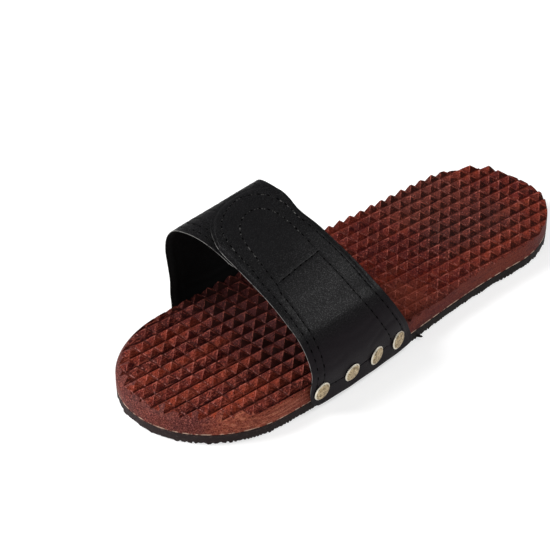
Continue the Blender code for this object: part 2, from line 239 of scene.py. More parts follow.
# The strap's inner face, one row for each section along the arch from the lateral hem to the medial hem.
# reach: x from the middle of the forefoot. height: z. follow: 1 where it runs along the sole's side.
# front, rear: y of the strap's two edges. rise: how much higher the rear edge lies.
ArchRow = namedtuple("ArchRow", "reach height follow front rear rise")
ARCH = (
    ArchRow(0.0463, 0.0018, 1.0, -0.0695, 0.0020, 0.0000),
    ArchRow(0.0463, 0.0090, 1.0, -0.0713, -0.0005, 0.0000),
    ArchRow(0.0463, 0.0160, 1.0, -0.0718, -0.0040, 0.0000),
    ArchRow(0.0458, 0.0225, 1.0, -0.0710, -0.0075, 0.0000),
    ArchRow(0.0438, 0.0295, 0.9, -0.0710, -0.0110, 0.0000),
    ArchRow(0.0388, 0.0355, 0.8, -0.0710, -0.0138, 0.0000),
    ArchRow(0.0320, 0.0395, 0.7, -0.0710, -0.0152, 0.0000),
    ArchRow(0.0225, 0.0440, 0.4, -0.0710, -0.0168, 0.0005),
    ArchRow(0.0100, 0.0485, 0.2, -0.0710, -0.0185, 0.0015),
    ArchRow(-0.0025, 0.0530, 0.0, -0.0712, -0.0203, 0.0025),
    ArchRow(-0.0150, 0.0573, 0.0, -0.0720, -0.0217, 0.0019),
    ArchRow(-0.0273, 0.0597, 0.0, -0.0730, -0.0204, 0.0037),
    ArchRow(-0.0375, 0.0590, 0.0, -0.0738, -0.0199, 0.0047),
    ArchRow(-0.0450, 0.0562, 0.0, -0.0740, -0.0193, 0.0056),
    ArchRow(-0.0492, 0.0506, 0.0, -0.0741, -0.0188, 0.0054),
    ArchRow(-0.0506, 0.0434, 0.0, -0.0740, -0.0176, 0.0036),
    ArchRow(-0.0493, 0.0340, 0.2, -0.0738, -0.0150, 0.0015),
    ArchRow(-0.0473, 0.0240, 0.6, -0.0738, -0.0110, 0.0000),
    ArchRow(-0.0463, 0.0160, 1.0, -0.0742, -0.0080, 0.0000),
    ArchRow(-0.0463, 0.0090, 1.0, -0.0742, -0.0060, 0.0000),
    ArchRow(-0.0463, 0.0018, 1.0, -0.0725, -0.0050, 0.0000),
)

# Stitching rows of the flap: distance along the arch, and from the strap's front edge
FLAP_ROW = (
    (0.0760, 0.0047),
    (0.0880, 0.0052),
    (0.0955, 0.0066),
    (0.1020, 0.0095),
    (0.1075, 0.0150),
    (0.1115, 0.0225),
    (0.1140, 0.0300),
    (0.1135, 0.0360),
    (0.1100, 0.0415),
    (0.1045, 0.0450),
    (0.0970, 0.0465),
)
PAD_ROW = (
    (0.0645, 0.0093),
    (0.0720, 0.0100),
    (0.0820, 0.0113),
    (0.0910, 0.0130),
    (0.0975, 0.0160),
    (0.1020, 0.0210),
    (0.1045, 0.0275),
    (0.1035, 0.0340),
    (0.0990, 0.0382),
    (0.0930, 0.0394),
    (0.0850, 0.0393),
    (0.0765, 0.0393),
    (0.0690, 0.0390),
)
PAD_CLOSING_ROW = ((0.0690, 0.0390), (0.0667, 0.0230), (0.0645, 0.0093))
FRONT_INSETS = (0.0037, 0.0079)
REAR_INSETS = (0.0045, 0.0135)
HEM_ROW = 0.0092
HEM_ROW_BENDS = ((HEM_ROW - 0.0008, 0.024), (HEM_ROW, 0.040))
MEDIAL_ROW_START = MEDIAL_END + 0.002
# How far before its curve a straight row ends, on the flap and on the pad
FLAP_ROW_JOIN = 0.006
PAD_ROW_JOIN = 0.004
EDGE_ROW_STEPS = 24
CURVE_STEP = 0.0002
SEARCH_STEP = 0.0004
HOLE_CROWN = 0.00016
STITCH_MESH = {"u_segments": 6, "v_segments": 5, "radius": 1.0}

# Creases of the leather: places along the arch and from the front edge, depth, and half the width
Crease = namedtuple("Crease", "path depth width")
CREASE_LIPS = 1.2
LATERAL_CREASES = (
    Crease(((0.0300, 0.012), (0.0270, 0.024), (0.0265, 0.036), (0.0290, 0.047)), 0.00016, 0.0022),
    Crease(((0.0215, 0.004), (0.0195, 0.013), (0.0205, 0.021)), 0.00014, 0.0018),
    Crease(((0.0175, 0.039), (0.0205, 0.047), (0.0220, 0.057)), 0.00014, 0.0018),
)
MEDIAL_CREASES = (
    Crease(((0.1275, 0.0105), (0.1230, 0.0119), (0.1180, 0.0128), (0.1115, 0.0129)), 0.00028, 0.0011),
    Crease(((0.1265, 0.0038), (0.1215, 0.0033), (0.1165, 0.0040)), 0.00024, 0.0009),
    Crease(((0.1290, 0.0180), (0.1235, 0.0205), (0.1185, 0.0220)), 0.00020, 0.0013),
    Crease(((0.1310, 0.0270), (0.1250, 0.0300), (0.1205, 0.0310)), 0.00018, 0.0014),
    Crease(((0.1420, 0.0100), (0.1440, 0.0220), (0.1430, 0.0350)), 0.00030, 0.0022),
    Crease(((0.1620, 0.0080), (0.1640, 0.0250), (0.1625, 0.0420)), 0.00030, 0.0022),
)


class SoleSettings(bpy.types.PropertyGroup):
    """The wooden footbed and the rubber under it."""

    stud_pitch_x: FloatProperty(
        name="Stud pitch across", description="Between two rows of studs", default=0.00711, unit="LENGTH"
    )
    stud_pitch_y: FloatProperty(
        name="Stud pitch along", description="Between two studs of a row", default=0.00742, unit="LENGTH"
    )
    stud_height: FloatProperty(
        name="Stud height", description="From the cross groove to the point", default=0.0030, unit="LENGTH"
    )
    stud_wear: FloatProperty(
        name="Stud wear", description="How far a stud's point may stray", default=0.00030, unit="LENGTH"
    )
    ridge_width: FloatProperty(
        name="Ridge width", description="Width of a stud's blunted ridges", default=0.00016, unit="LENGTH"
    )
    kerf_width: FloatProperty(
        name="Kerf width", description="Saw cut between rows of studs", default=0.00070, unit="LENGTH"
    )
    kerf_depth: FloatProperty(
        name="Kerf depth", description="Saw cut under the cross grooves", default=0.0010, unit="LENGTH"
    )
    toe_rim: FloatProperty(
        name="Toe rim", description="Width of the sanded rim at the toe", default=0.0110, unit="LENGTH"
    )
    heel_rim: FloatProperty(
        name="Heel rim", description="Width of the sanded rim at the heel", default=0.0010, unit="LENGTH"
    )
    rib_pitch: FloatProperty(
        name="Rib pitch", description="Between two ribs of the tread", default=0.0021, unit="LENGTH"
    )
    rib_depth: FloatProperty(
        name="Rib depth", description="Depth of the tread", default=0.0010, unit="LENGTH"
    )
    wood_dark: FloatVectorProperty(
        name="Dark wood", description="Dark streaks", default=(0.034, 0.0056, 0.0056), subtype="COLOR"
    )
    wood_red: FloatVectorProperty(
        name="Red wood", description="Most of the wood", default=(0.174, 0.0150, 0.0098), subtype="COLOR"
    )
    wood_light: FloatVectorProperty(
        name="Light wood", description="Orange streaks", default=(0.314, 0.047, 0.0165), subtype="COLOR"
    )
    rubber: FloatVectorProperty(
        name="Rubber", description="Rubber of the outsole", default=(0.0178, 0.0098, 0.0098), subtype="COLOR"
    )


class StrapSettings(bpy.types.PropertyGroup):
    """The leather strap, its stitches and its fastening."""

    thickness: FloatProperty(
        name="Thickness", description="Thickness of the leather", default=0.0014, unit="LENGTH"
    )
    tape_thickness: FloatProperty(
        name="Tape thickness", description="Thickness of the fastening pad", default=0.0008, unit="LENGTH"
    )
    stitch_pitch: FloatProperty(
        name="Stitch pitch", description="From one stitch to the next", default=0.0042, unit="LENGTH"
    )
    stitch_length: FloatProperty(
        name="Stitch length", description="Thread that shows of a stitch", default=0.0036, unit="LENGTH"
    )
    thread_width: FloatProperty(
        name="Thread width", description="Thickness of the thread", default=0.0005, unit="LENGTH"
    )
    hole_length: FloatProperty(
        name="Hole length", description="Length of a needle hole", default=0.0021, unit="LENGTH"
    )
    hole_width: FloatProperty(
        name="Hole width", description="Width of a needle hole", default=0.0007, unit="LENGTH"
    )
    row_depth: FloatProperty(
        name="Row depth", description="How deep a row pulls the leather in", default=0.00012, unit="LENGTH"
    )
    row_spread: FloatProperty(
        name="Row spread", description="Half the width of a row's dent", default=0.0008, unit="LENGTH"
    )
    leather: FloatVectorProperty(
        name="Leather", description="Black of the leather", default=(0.0052, 0.0050, 0.0056), subtype="COLOR"
    )
    edge: FloatVectorProperty(
        name="Cut edge", description="Raw edge of the leather", default=(0.150, 0.146, 0.140), subtype="COLOR"
    )
    thread: FloatVectorProperty(
        name="Thread", description="Sewing thread", default=(0.0022, 0.0021, 0.0023), subtype="COLOR"
    )


class NailSettings(bpy.types.PropertyGroup):
    """The brass nails along both hems."""

    head_radius: FloatProperty(
        name="Head radius", description="Radius of a nail's head", default=0.0049, unit="LENGTH"
    )
    head_height: FloatProperty(
        name="Head height", description="Height of a nail's dome", default=0.0013, unit="LENGTH"
    )
    shank_length: FloatProperty(
        name="Shank length", description="Length of a nail under its head", default=0.0125, unit="LENGTH"
    )
    steps: IntProperty(name="Steps", description="Facets round a nail", default=28, subtype="UNSIGNED")
    brass: FloatVectorProperty(
        name="Brass", description="Worn metal", default=(0.62, 0.50, 0.32), subtype="COLOR"
    )
    tarnish: FloatVectorProperty(
        name="Tarnish", description="Dull metal", default=(0.33, 0.245, 0.135), subtype="COLOR"
    )


class StageSettings(bpy.types.PropertyGroup):
    """The floor, the lights and the camera."""

    azimuth: FloatProperty(
        name="Azimuth", description="Turn from the toe", default=math.radians(47.672), subtype="ANGLE"
    )
    elevation: FloatProperty(
        name="Elevation", description="Camera's height", default=math.radians(34.642), subtype="ANGLE"
    )
    distance: FloatProperty(
        name="Distance", description="From the camera to its target", default=1.0654, unit="LENGTH"
    )
    target: FloatVectorProperty(
        name="Target",
        description="Where the camera looks",
        default=(-0.03086, -0.02094, 0.01422),
        subtype="TRANSLATION",
        unit="LENGTH",
    )
    lens: FloatProperty(
        name="Lens", description="Focal length in millimetres", default=140.85, unit="CAMERA"
    )
    key: FloatProperty(name="Key light", description="Power of the key light", default=41.0, unit="POWER")
    sheen: FloatProperty(
        name="Sheen light", description="Power of the light behind the strap", default=7.0, unit="POWER"
    )
    front: FloatProperty(
        name="Front light", description="Power of the low light before the toe", default=6.0, unit="POWER"
    )
    floor_glow: FloatProperty(
        name="Floor glow", description="Light from under the floor", default=0.62, subtype="FACTOR"
    )
    backdrop: FloatProperty(
        name="Backdrop", description="Light from all round", default=0.08, subtype="FACTOR"
    )
    floor: FloatVectorProperty(
        name="Floor", description="Pale floor", default=(0.50, 0.50, 0.50), subtype="COLOR"
    )


def smoothstep(start, end, value):
    """0 before start, 1 after end, and a smooth ramp between them."""
    t = min(1.0, max(0.0, (value - start) / (end - start)))
    return t * t * (3.0 - 2.0 * t)


def hermite(start, end, leave, arrive, t):
    """A smooth way from start to end, which leaves and arrives at the given slopes."""
    return (
        start * (1.0 + 2.0 * t) * (1.0 - t) ** 2
        + end * t * t * (3.0 - 2.0 * t)
        + leave * t * (1.0 - t) ** 2
        - arrive * t * t * (1.0 - t)
    )


def lateral_x(y):
    """x of the sole's outer side at y."""
    taper = smoothstep(SIDE_TAPER_START, SIDE_TAPER_END, y)
    return FOREFOOT_X + BALL_HALF - (BALL_HALF - HEEL_LATERAL) * taper


def medial_x(y):
    """x of the sole's inner side at y."""
    taper = smoothstep(SIDE_TAPER_START, SIDE_TAPER_END, y)
    return FOREFOOT_X - BALL_HALF + MEDIAL_TAPER * taper


def cap_point(angle, half_width, length, squareness):
    """A point of a rounded end, with x across the sole and y away from its middle."""
    cosine, sine = math.cos(angle), math.sin(angle)
    power = 2.0 / squareness
    return half_width * math.copysign(abs(cosine) ** power, cosine), length * abs(sine) ** power


def sole_outline():
    """The sole's outline, counter-clockwise from the toe's inner side."""
    points = []
    for i in range(CAP_STEPS):
        x, y = cap_point(math.pi * (1.0 - i / CAP_STEPS), BALL_HALF, TOE_CAP_LENGTH, TOE_SQUARENESS)
        points.append((FOREFOOT_X + x, TOE_CAP_Y - y))
    side = [TOE_CAP_Y + (HEEL_CAP_Y - TOE_CAP_Y) * i / SIDE_STEPS for i in range(SIDE_STEPS)]
    points += [(lateral_x(y), y) for y in side]
    heel_x = (lateral_x(HEEL_CAP_Y) + medial_x(HEEL_CAP_Y)) / 2
    heel_half = (lateral_x(HEEL_CAP_Y) - medial_x(HEEL_CAP_Y)) / 2
    for i in range(CAP_STEPS):
        squareness = HEEL_LATERAL_SQUARENESS if i < CAP_STEPS / 2 else HEEL_MEDIAL_SQUARENESS
        x, y = cap_point(math.pi * i / CAP_STEPS, heel_half, HEEL_CAP_LENGTH, squareness)
        points.append((heel_x + x, HEEL_CAP_Y + y))
    points += [(medial_x(y), y) for y in (TOE_CAP_Y + HEEL_CAP_Y - y for y in side)]
    return [Vector(point) for point in points]


def inset_ring(outline, widths, height):
    """The outline moved inwards by a width for each of its points, at a height."""
    ring = []
    for i, point in enumerate(outline):
        along = outline[(i + 1) % len(outline)] - outline[i - 1]
        inward = Vector((-along.y, along.x)).normalized()
        ring.append((point + inward * widths[i]).to_3d() + Vector((0.0, 0.0, height)))
    return ring


def loft(rings):
    """A closed bmesh through rings of points, capped at both ends."""
    bm = bmesh.new()
    loops = []
    for ring in rings:
        verts = [bm.verts.new(point) for point in ring]
        loops.append([bm.edges.new((verts[i - 1], verts[i])) for i in range(len(verts))])
    for lower, upper in zip(loops, loops[1:]):
        bmesh.ops.bridge_loops(bm, edges=lower + upper)
    for loop in (loops[0], loops[-1]):
        bmesh.ops.contextual_create(bm, geom=loop)
    bmesh.ops.recalc_face_normals(bm, faces=bm.faces)
    return bm


def only_verts(geom):
    """The vertices among what a bmesh operator gives back."""
    return [item for item in geom if isinstance(item, bmesh.types.BMVert)]


def edge_width(edge):
    """How far an edge reaches across the sole."""
    return abs(edge.verts[0].co.x - edge.verts[1].co.x)


def bevel_edges(bm, edges, width, clamp_overlap=False):
    """Cuts each edge to a flat strip of a width."""
    bmesh.ops.bevel(
        bm,
        geom=edges,
        offset=width / 2,
        offset_type="OFFSET",
        affect="EDGES",
        segments=1,
        profile=0.5,
        material=-1,
        clamp_overlap=clamp_overlap,
    )


def add_object(name, bm, materials):
    """A mesh object from a bmesh, with its materials."""
    mesh = bpy.data.meshes.new(name)
    bm.to_mesh(mesh)
    bm.free()
    for material in materials:
        mesh.materials.append(material)
    obj = bpy.data.objects.new(name, mesh)
    bpy.context.scene.collection.objects.link(obj)
    return obj


def apply_modifiers(obj):
    """Turns the object's modifiers into its mesh."""
    depsgraph = bpy.context.evaluated_depsgraph_get()
    mesh = bpy.data.meshes.new_from_object(obj.evaluated_get(depsgraph))
    obj.modifiers.clear()
    obj.data = mesh


def intersect(obj, cutter):
    """Keeps what both objects share, and removes the second one."""
    width = obj.dimensions.x
    modifier = obj.modifiers.new("cut", "BOOLEAN")
    modifier.operation = "INTERSECT"
    modifier.solver = "EXACT"
    modifier.material_mode = "INDEX"
    modifier.object = cutter
    apply_modifiers(obj)
    bpy.data.objects.remove(cutter)
    across = [vert.co.x for vert in obj.data.vertices]
    if not across or max(across) - min(across) > width + CUT_TOLERANCE:
        raise RuntimeError(f"the cut of {obj.name} failed")


def shade(obj, angle):
    """Smooth faces with sharp edges over an angle."""
    obj.data.shade_smooth()
    obj.data.set_sharp_from_angle(angle=angle)


def seat(obj, slot, *nodes):
    """The piece rides on the slipper and stands for its CAD nodes."""
    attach(obj, BODY)
    if nodes:
        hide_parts(*nodes)


class Field:
    """A socket of a material's nodes. Arithmetic on fields adds Math nodes."""

    def __init__(self, tree, socket=None):
        self.tree = tree
        self.socket = socket

    def node(self, kind, settings=None, inputs=None, output=0):
        """Adds a node: its settings come first, and then the values or links of its sockets."""
        made = self.tree.nodes.new(kind)
        for name, value in (settings or {}).items():
            if name == "stops":
                ramp = made.color_ramp
                while len(ramp.elements) < len(value):
                    ramp.elements.new(1.0)
                for element, (position, colour) in zip(ramp.elements, value):
                    element.position = position
                    element.color = (*colour, 1.0)
            else:
                setattr(made, name, value)
        for key, value in (inputs or {}).items():
            if isinstance(value, Field):
                self.tree.links.new(value.socket, made.inputs[key])
            else:
                made.inputs[key].default_value = value
        return Field(self.tree, made.outputs[output])

    def math(self, operation, *values):
        return self.node("ShaderNodeMath", {"operation": operation}, dict(enumerate(values)))

    def __add__(self, other):
        return self.math("ADD", self, other)

    def __sub__(self, other):
        return self.math("SUBTRACT", self, other)

    def __rsub__(self, other):
        return self.math("SUBTRACT", other, self)

    def __mul__(self, other):
        return self.math("MULTIPLY", self, other)

    def __truediv__(self, other):
        return self.math("DIVIDE", self, other)

    def __abs__(self):
        return self.math("ABSOLUTE", self)

    __radd__ = __add__
    __rmul__ = __mul__

    def fraction(self):
        return self.math("FRACT", self)

    def floor(self):
        return self.math("FLOOR", self)

    def step(self, low, high):
        """0 under low, 1 over high, and a smooth ramp between them. high may be the lower one."""
        if low > high:
            return 1.0 - self.step(high, low)
        settings = {"interpolation_type": "SMOOTHSTEP"}
        return self.node("ShaderNodeMapRange", settings, {"Value": self, "From Min": low, "From Max": high})

    def ramp(self, *stops):
        """A colour for each value, from stops of a position and a colour."""
        return self.node("ShaderNodeValToRGB", {"stops": stops}, {"Fac": self})

    def mix(self, low, high):
        """A colour between two, by this factor."""
        inputs = {0: self, 6: colour(low), 7: colour(high)}
        return self.node("ShaderNodeMix", {"data_type": "RGBA"}, inputs, 2)

    def stretch(self, x, y, z):
        """This vector with each axis scaled."""
        return self.node("ShaderNodeVectorMath", {"operation": "MULTIPLY"}, {0: self, 1: (x, y, z)})

    def noise(self, scale, detail=2.0, roughness=0.5):
        """Noise over this vector, with scale cycles for each metre."""
        inputs = {"Vector": self, "Scale": scale, "Detail": detail, "Roughness": roughness}
        return self.node("ShaderNodeTexNoise", None, inputs)

    def cells(self, scale):
        """Distance to the nearest cell's centre, over this vector."""
        return self.node("ShaderNodeTexVoronoi", {"feature": "F1"}, {"Vector": self, "Scale": scale})

    def axes(self):
        """This vector's x, y and z."""
        split = self.node("ShaderNodeSeparateXYZ", None, {"Vector": self}).socket.node
        return [Field(self.tree, socket) for socket in split.outputs]


def colour(value):
    """A field as it is, or a colour with its alpha."""
    return value if isinstance(value, Field) else (*value, 1.0)


def coats(tone, *layers):
    """Lays coats over a tone. Each has its name, how much of it shows, and its colour."""
    for name, share, over in layers:
        tone = share.mix(tone, over)
        tone.socket.node.label = name
    return tone


class Finish:
    """A material with one Principled shader."""

    def __init__(self, name, gloss, **constants):
        self.material = bpy.data.materials.new(name)
        self.material.use_nodes = True
        self.tree = self.material.node_tree
        self.shader = self.tree.nodes["Principled BSDF"]
        self.place = Field(self.tree).node("ShaderNodeTexCoord", output="Object")
        self.feed("Specular IOR Level", gloss)
        for socket, value in constants.items():
            self.feed(socket.title(), value)

    def feed(self, name, value):
        """Links a field to one of the shader's sockets, or sets it."""
        if isinstance(value, Field):
            self.tree.links.new(value.socket, self.shader.inputs[name])
        else:
            self.shader.inputs[name].default_value = value

    def bump(self, height, distance):
        """Relief from a height field of 0 to 1."""
        inputs = {"Height": height, "Distance": distance, "Strength": 1.0}
        self.feed("Normal", self.place.node("ShaderNodeBump", None, inputs))


def wood_streaks(place, settings):
    """The colour of oiled red wood, streaked along the board."""
    broad = place.stretch(95.0, 10.0, 95.0).noise(1.0, 3.0, 0.55)
    fine = place.stretch(540.0, 40.0, 540.0).noise(1.0, 3.0, 0.6)
    patch = place.noise(42.0, 2.0)
    blend = broad * 0.50 + fine * 0.26 + patch * 0.24
    return blend.ramp(
        (0.38, settings.wood_dark), (0.49, settings.wood_red), (0.62, settings.wood_light)
    )


def wood_pores(place):
    """Short dark pores along the grain, from 0 to 1."""
    return place.stretch(2400.0, 150.0, 2400.0).noise(1.0, 2.0, 0.5).step(0.58, 0.70)


def board_zones(place):
    """Zones of the studded top, each from 0 to 1, by the place across and along the board."""
    aside, ahead, _ = place.axes()
    from_side = (aside - FOREFOOT_X) / BALL_HALF
    before_cap = ahead - TOE_CAP_Y
    from_cap = before_cap.math("MINIMUM", before_cap, 0.0) / TOE_CAP_LENGTH
    at_rim = (from_side * from_side + from_cap * from_cap).step(0.62, 0.86) * from_cap.step(0.0, -0.2)
    outer_fade = aside.step(0.0, KERF_OUTER_SIDE) * KERF_OUTER_FADE
    side = aside + ahead.step(SIDE_TAPER_START, SIDE_TAPER_END) * (BALL_HALF - HEEL_LATERAL)
    at_side = side.step(FOREFOOT_X + BALL_HALF - 0.0065, FOREFOOT_X + BALL_HALF - 0.0020)
    bands = (aside - BAND_PLACE) / BAND_PITCH + place.noise(30.0) * 0.2 - 0.10
    return SimpleNamespace(
        front=ahead.step(-0.088, -0.110),
        toe=ahead.step(-0.030, -0.070),
        outer_toe=aside.step(0.012, 0.040) * ahead.step(-0.045, -0.090),
        # Painted shadow of the strap on the studs near and under it: strap_shadow in the middle, by_strap on
        # the outer side
        strap_shadow=ahead.step(-0.096, -0.056) * ahead.step(-0.010, -0.040) * aside.step(0.042, 0.018),
        by_strap=ahead.step(-0.088, -0.062) * ahead.step(-0.020, -0.050) * aside.step(-0.010, 0.015),
        # behind_strap: painted light behind the strap on the outer side, which lifts the strap's cast shadow
        # there
        behind_strap=ahead.step(-0.006, 0.006) * ahead.step(0.032, 0.018) * aside.step(0.008, 0.018),
        middle=ahead.step(-0.030, -0.010) * ahead.step(0.075, 0.045),
        inner_middle=ahead.step(0.018, 0.028) * ahead.step(0.058, 0.046) * aside.step(0.016, -0.002),
        heel=ahead.step(0.035, 0.065),
        heel_sides=ahead.step(0.050, 0.068) * (aside.step(0.010, 0.018) + aside.step(-0.021, -0.028)),
        worn_heel=ahead.step(0.045, 0.070) * ahead.step(0.124, 0.100) * aside.step(0.028, 0.006),
        outer_side=at_side * ahead.step(-0.030, 0.010),
        sawn=(ahead - outer_fade).step(KERF_FADE_END, KERF_FADE_START) * (1.0 - at_rim * 0.85),
        bands=abs(bands.fraction() - 0.5) * 2.0,
        banded=ahead.step(-0.062, -0.084),
    )


def stud_parts(place, settings, zone, grit, blotch):
    """Parts of a stud, each from 0 to 1: its faces, ridges and point, and the cuts beside it."""
    grid = place.node(
        "ShaderNodeMapping",
        {"vector_type": "TEXTURE"},
        {
            "Vector": place,
            "Location": (*STUD_CENTRE, 0.0),
            "Rotation": (0.0, 0.0, STUD_GRID_TURN),
            "Scale": (settings.stud_pitch_x, settings.stud_pitch_y, 1.0),
        },
    )
    across, along, height = grid.axes()
    from_row = across.fraction() - 0.5
    from_cross = along.fraction() - 0.5
    steep = abs(from_row) - abs(from_cross)
    long_face = steep.step(-0.03, 0.03)
    on_stud = height.step(STUD_TOP - 0.0030, STUD_TOP - 0.0010)
    row = place.node("ShaderNodeTexWhiteNoise", {"noise_dimensions": "1D"}, {"W": (across + 0.5).floor()})
    cell = place.node("ShaderNodeCombineXYZ", None, {"X": across.floor(), "Y": along.floor(), "Z": 0.0})
    return SimpleNamespace(
        shade=place.node("ShaderNodeTexWhiteNoise", None, {"Vector": cell}),
        outer_face=long_face * from_row.step(-0.05, 0.05),
        toe_face=(1.0 - long_face) * from_cross.step(0.05, -0.05),
        # pit_shade: painted shade on the outer faces of the studs, used at the heel
        pit_shade=steep.step(0.02, 0.12) * from_row.step(0.06, 0.13) * from_row.step(0.48, 0.42),
        ridge_wear_and_highlight=abs(steep).step(0.050, 0.012) * grit.step(0.40, 0.56) * on_stud,
        point=height.step(STUD_TOP - 0.0008, STUD_TOP - 0.0001),
        fuzz=abs(from_cross).step(0.42, 0.48) * blotch.step(0.48, 0.60) * grit.step(0.45, 0.55),
        groove=height.step(STUD_TOP - 0.0015, STUD_TOP - 0.0034),
        kerf=abs(from_row).step(0.41, 0.475) * zone.sawn * (0.45 + row * 0.50),
    )


def cut_wood(settings):
    """The studded top: painted shade on the faces along the grain, paler faces across it, ridges, grooves and
    saw cuts.
    """
    finish = Finish("cut_wood", 0.04)
    place = finish.place
    dark, light = settings.wood_dark, settings.wood_light
    grit = place.noise(1150.0, 3.0, 0.70)
    speckle = place.noise(1900.0, 2.0, 0.6)
    fibre = place.stretch(1400.0, 260.0, 1400.0).noise(1.0, 2.0, 0.6)
    blotch = place.noise(420.0, 3.0, 0.6)
    patch = place.noise(170.0, 1.0)
    streak = place.stretch(130.0, 13.0, 130.0).noise(1.0, 2.0).step(0.52, 0.64)
    zone = board_zones(place)
    stud = stud_parts(place, settings, zone, grit, blotch)
    # Painted shade on the studs' outer faces, deepest in the painted shadow of the strap, and none at the
    # heel
    in_shade = 0.42 - zone.middle * 0.20 - zone.outer_toe * 0.38 + zone.strap_shadow * 0.70 - zone.front * 0.15
    in_shade = stud.outer_face * (in_shade + zone.by_strap * 0.45) * (1.0 - zone.heel)
    in_shade = in_shade * (0.55 + stud.shade * 0.45)
    # The pale grit and fibres fade in the painted shade
    unshaded_share = 1.0 - zone.strap_shadow * 0.65 - (zone.strap_shadow + zone.by_strap * 0.5) * stud.outer_face * 0.50
    # Painted shade on the faces to the toe, lighter than on the outer faces
    toe_face_shade = stud.toe_face * (0.40 - zone.front * 0.15 - zone.outer_toe * 0.20)
    tone = coats(
        wood_streaks(place, settings),
        ("darker studs", stud.shade * 0.45, dark),
        ("light blotches", blotch.step(0.50, 0.70) * 0.50, light),
        ("orange streaks", streak * 0.40 + zone.outer_toe * 0.45, light),
        ("dark blotches", blotch.step(0.48, 0.32) * 0.60, dark),
        ("brown patches", patch.step(0.56, 0.70) * 0.45, (0.050, 0.0165, 0.0083)),
        ("purple patches", patch.step(0.44, 0.30) * 0.35, (0.070, 0.015, 0.022)),
        # Painted shadow of the strap
        ("dark heart", zone.strap_shadow * 0.76 + zone.by_strap * (1.0 - zone.strap_shadow) * 0.35, dark),
        # Painted light behind the strap
        ("pale behind the strap", zone.behind_strap * 0.70, (0.310, 0.064, 0.036)),
        ("light sides of the heel", zone.heel_sides * 0.34, light),
        ("dark inner middle", zone.inner_middle * 0.30, dark),
        ("worn heel", zone.worn_heel * 0.60, (0.080, 0.033, 0.027)),
        ("dark middle", zone.middle * 0.15, dark),
        # Painted shade by the way the studs' faces turn
        ("faces to the toe", toe_face_shade, (0.068, 0.015, 0.013)),
        ("faces to the toe in the heart", stud.toe_face * zone.strap_shadow * 0.65, (0.046, 0.016, 0.017)),
        ("shaded outer faces", in_shade + stud.pit_shade * zone.heel * 0.80, (0.016, 0.0045, 0.0030)),
        ("outer side", zone.outer_side * 0.65, (0.062, 0.014, 0.012)),
        ("dark bands", zone.bands.step(0.60, 0.10) * zone.banded * 0.55, dark),
        ("light bands", zone.bands.step(0.50, 0.95) * zone.banded * 0.45, light),
        ("pores", wood_pores(place) * 0.55, (0.022, 0.006, 0.006)),
        ("grooves", stud.groove * (0.50 - zone.middle * 0.30 + zone.toe * 0.12), (0.012, 0.003, 0.003)),
        ("dark grit", grit.step(0.49, 0.31) * 0.80, (0.014, 0.003, 0.003)),
        ("pale grit", grit.step(0.53, 0.71) * unshaded_share * 0.60, (0.33, 0.071, 0.049)),
        ("dark speckle", speckle.step(0.50, 0.37) * zone.toe * 0.70, (0.011, 0.0025, 0.003)),
        ("pale fibres", fibre.step(0.54, 0.64) * zone.toe * unshaded_share * 0.60, (0.34, 0.076, 0.052)),
        ("saw cuts", stud.kerf, (0.008, 0.002, 0.002)),
        # Pale ridges: partly wear, partly painted highlight
        ("ridges", stud.ridge_wear_and_highlight * (0.80 - zone.strap_shadow * 0.40), (0.46, 0.130, 0.098)),
        ("torn fibres", stud.fuzz * (0.35 + zone.front * 0.40), (0.42, 0.170, 0.150)),
        ("points", stud.point * 0.35, (0.40, 0.130, 0.095)),
    )
    finish.feed("Base Color", tone)
    finish.feed("Roughness", 0.45 + grit * 0.25)
    saw = place.stretch(150.0, 2600.0, 900.0).noise(1.0, 2.0)
    finish.bump(saw * 0.35 + grit * 0.45 + blotch * 0.5, 0.00120)
    return finish.material


def sanded_wood(settings):
    """The rounded rim and the sides: smoother and paler, with a light line along the glued joint."""
    finish = Finish("sanded_wood", 0.06)
    place = finish.place
    aside, ahead, height = place.axes()
    dust = place.noise(520.0, 4.0, 0.70)
    fine = place.noise(1650.0, 3.0, 0.70)
    patch = place.noise(75.0, 2.0)
    streak = place.stretch(1100.0, 40.0, 1100.0).noise(1.0, 3.0, 0.6)
    glue = place.stretch(300.0, 300.0, 0.0).noise(1.0, 3.0).step(0.42, 0.60)
    toe = ahead.step(-0.040, -0.090)
    oiled = toe * aside.step(0.041, 0.028) * (0.80 + patch.step(0.55, 0.40) * 0.20)
    wall = 1.0 - toe * aside.step(0.042, 0.030)
    joint = height.step(BOARD_BOTTOM + 0.0007, BOARD_BOTTOM + 0.0002) * glue
    tone = coats(
        wood_streaks(place, settings),
        ("pale dust", dust.step(0.38, 0.70) * 0.45, (0.21, 0.058, 0.043)),
        ("dark dust", dust.step(0.50, 0.30) * 0.55, settings.wood_dark),
        ("pores", wood_pores(place) * 0.50, settings.wood_dark),
        ("oiled tip", oiled, (0.052, 0.0150, 0.0145)),
        ("orange outer side of the toe", toe * aside.step(0.030, 0.042) * 0.45, (0.320, 0.095, 0.052)),
        ("pale streaks", streak.step(0.50, 0.64) * toe * (0.11 + wall * 0.60), (0.44, 0.150, 0.085)),
        ("dark streaks", streak.step(0.50, 0.36) * (0.10 + wall * 0.36), settings.wood_dark),
        ("pale speckle", fine.step(0.53, 0.64) * 0.72, (0.31, 0.092, 0.071)),
        ("dark speckle", fine.step(0.48, 0.37) * 0.74, (0.018, 0.005, 0.005)),
        # Painted shade: the sanded rim and walls darken towards the heel
        ("darker to the heel", ahead.step(-0.080, 0.020) * 0.50, (0.056, 0.013, 0.012)),
        ("glued joint", joint * (0.70 + ahead.step(-0.060, 0.000) * 0.25), (0.62, 0.44, 0.33)),
    )
    finish.feed("Base Color", tone)
    finish.feed("Roughness", 0.50 + dust * 0.2)
    finish.bump(place.stretch(1800.0, 260.0, 1800.0).noise(1.0, 3.0) * 0.6 + fine * 0.4, 0.00022)
    return finish.material


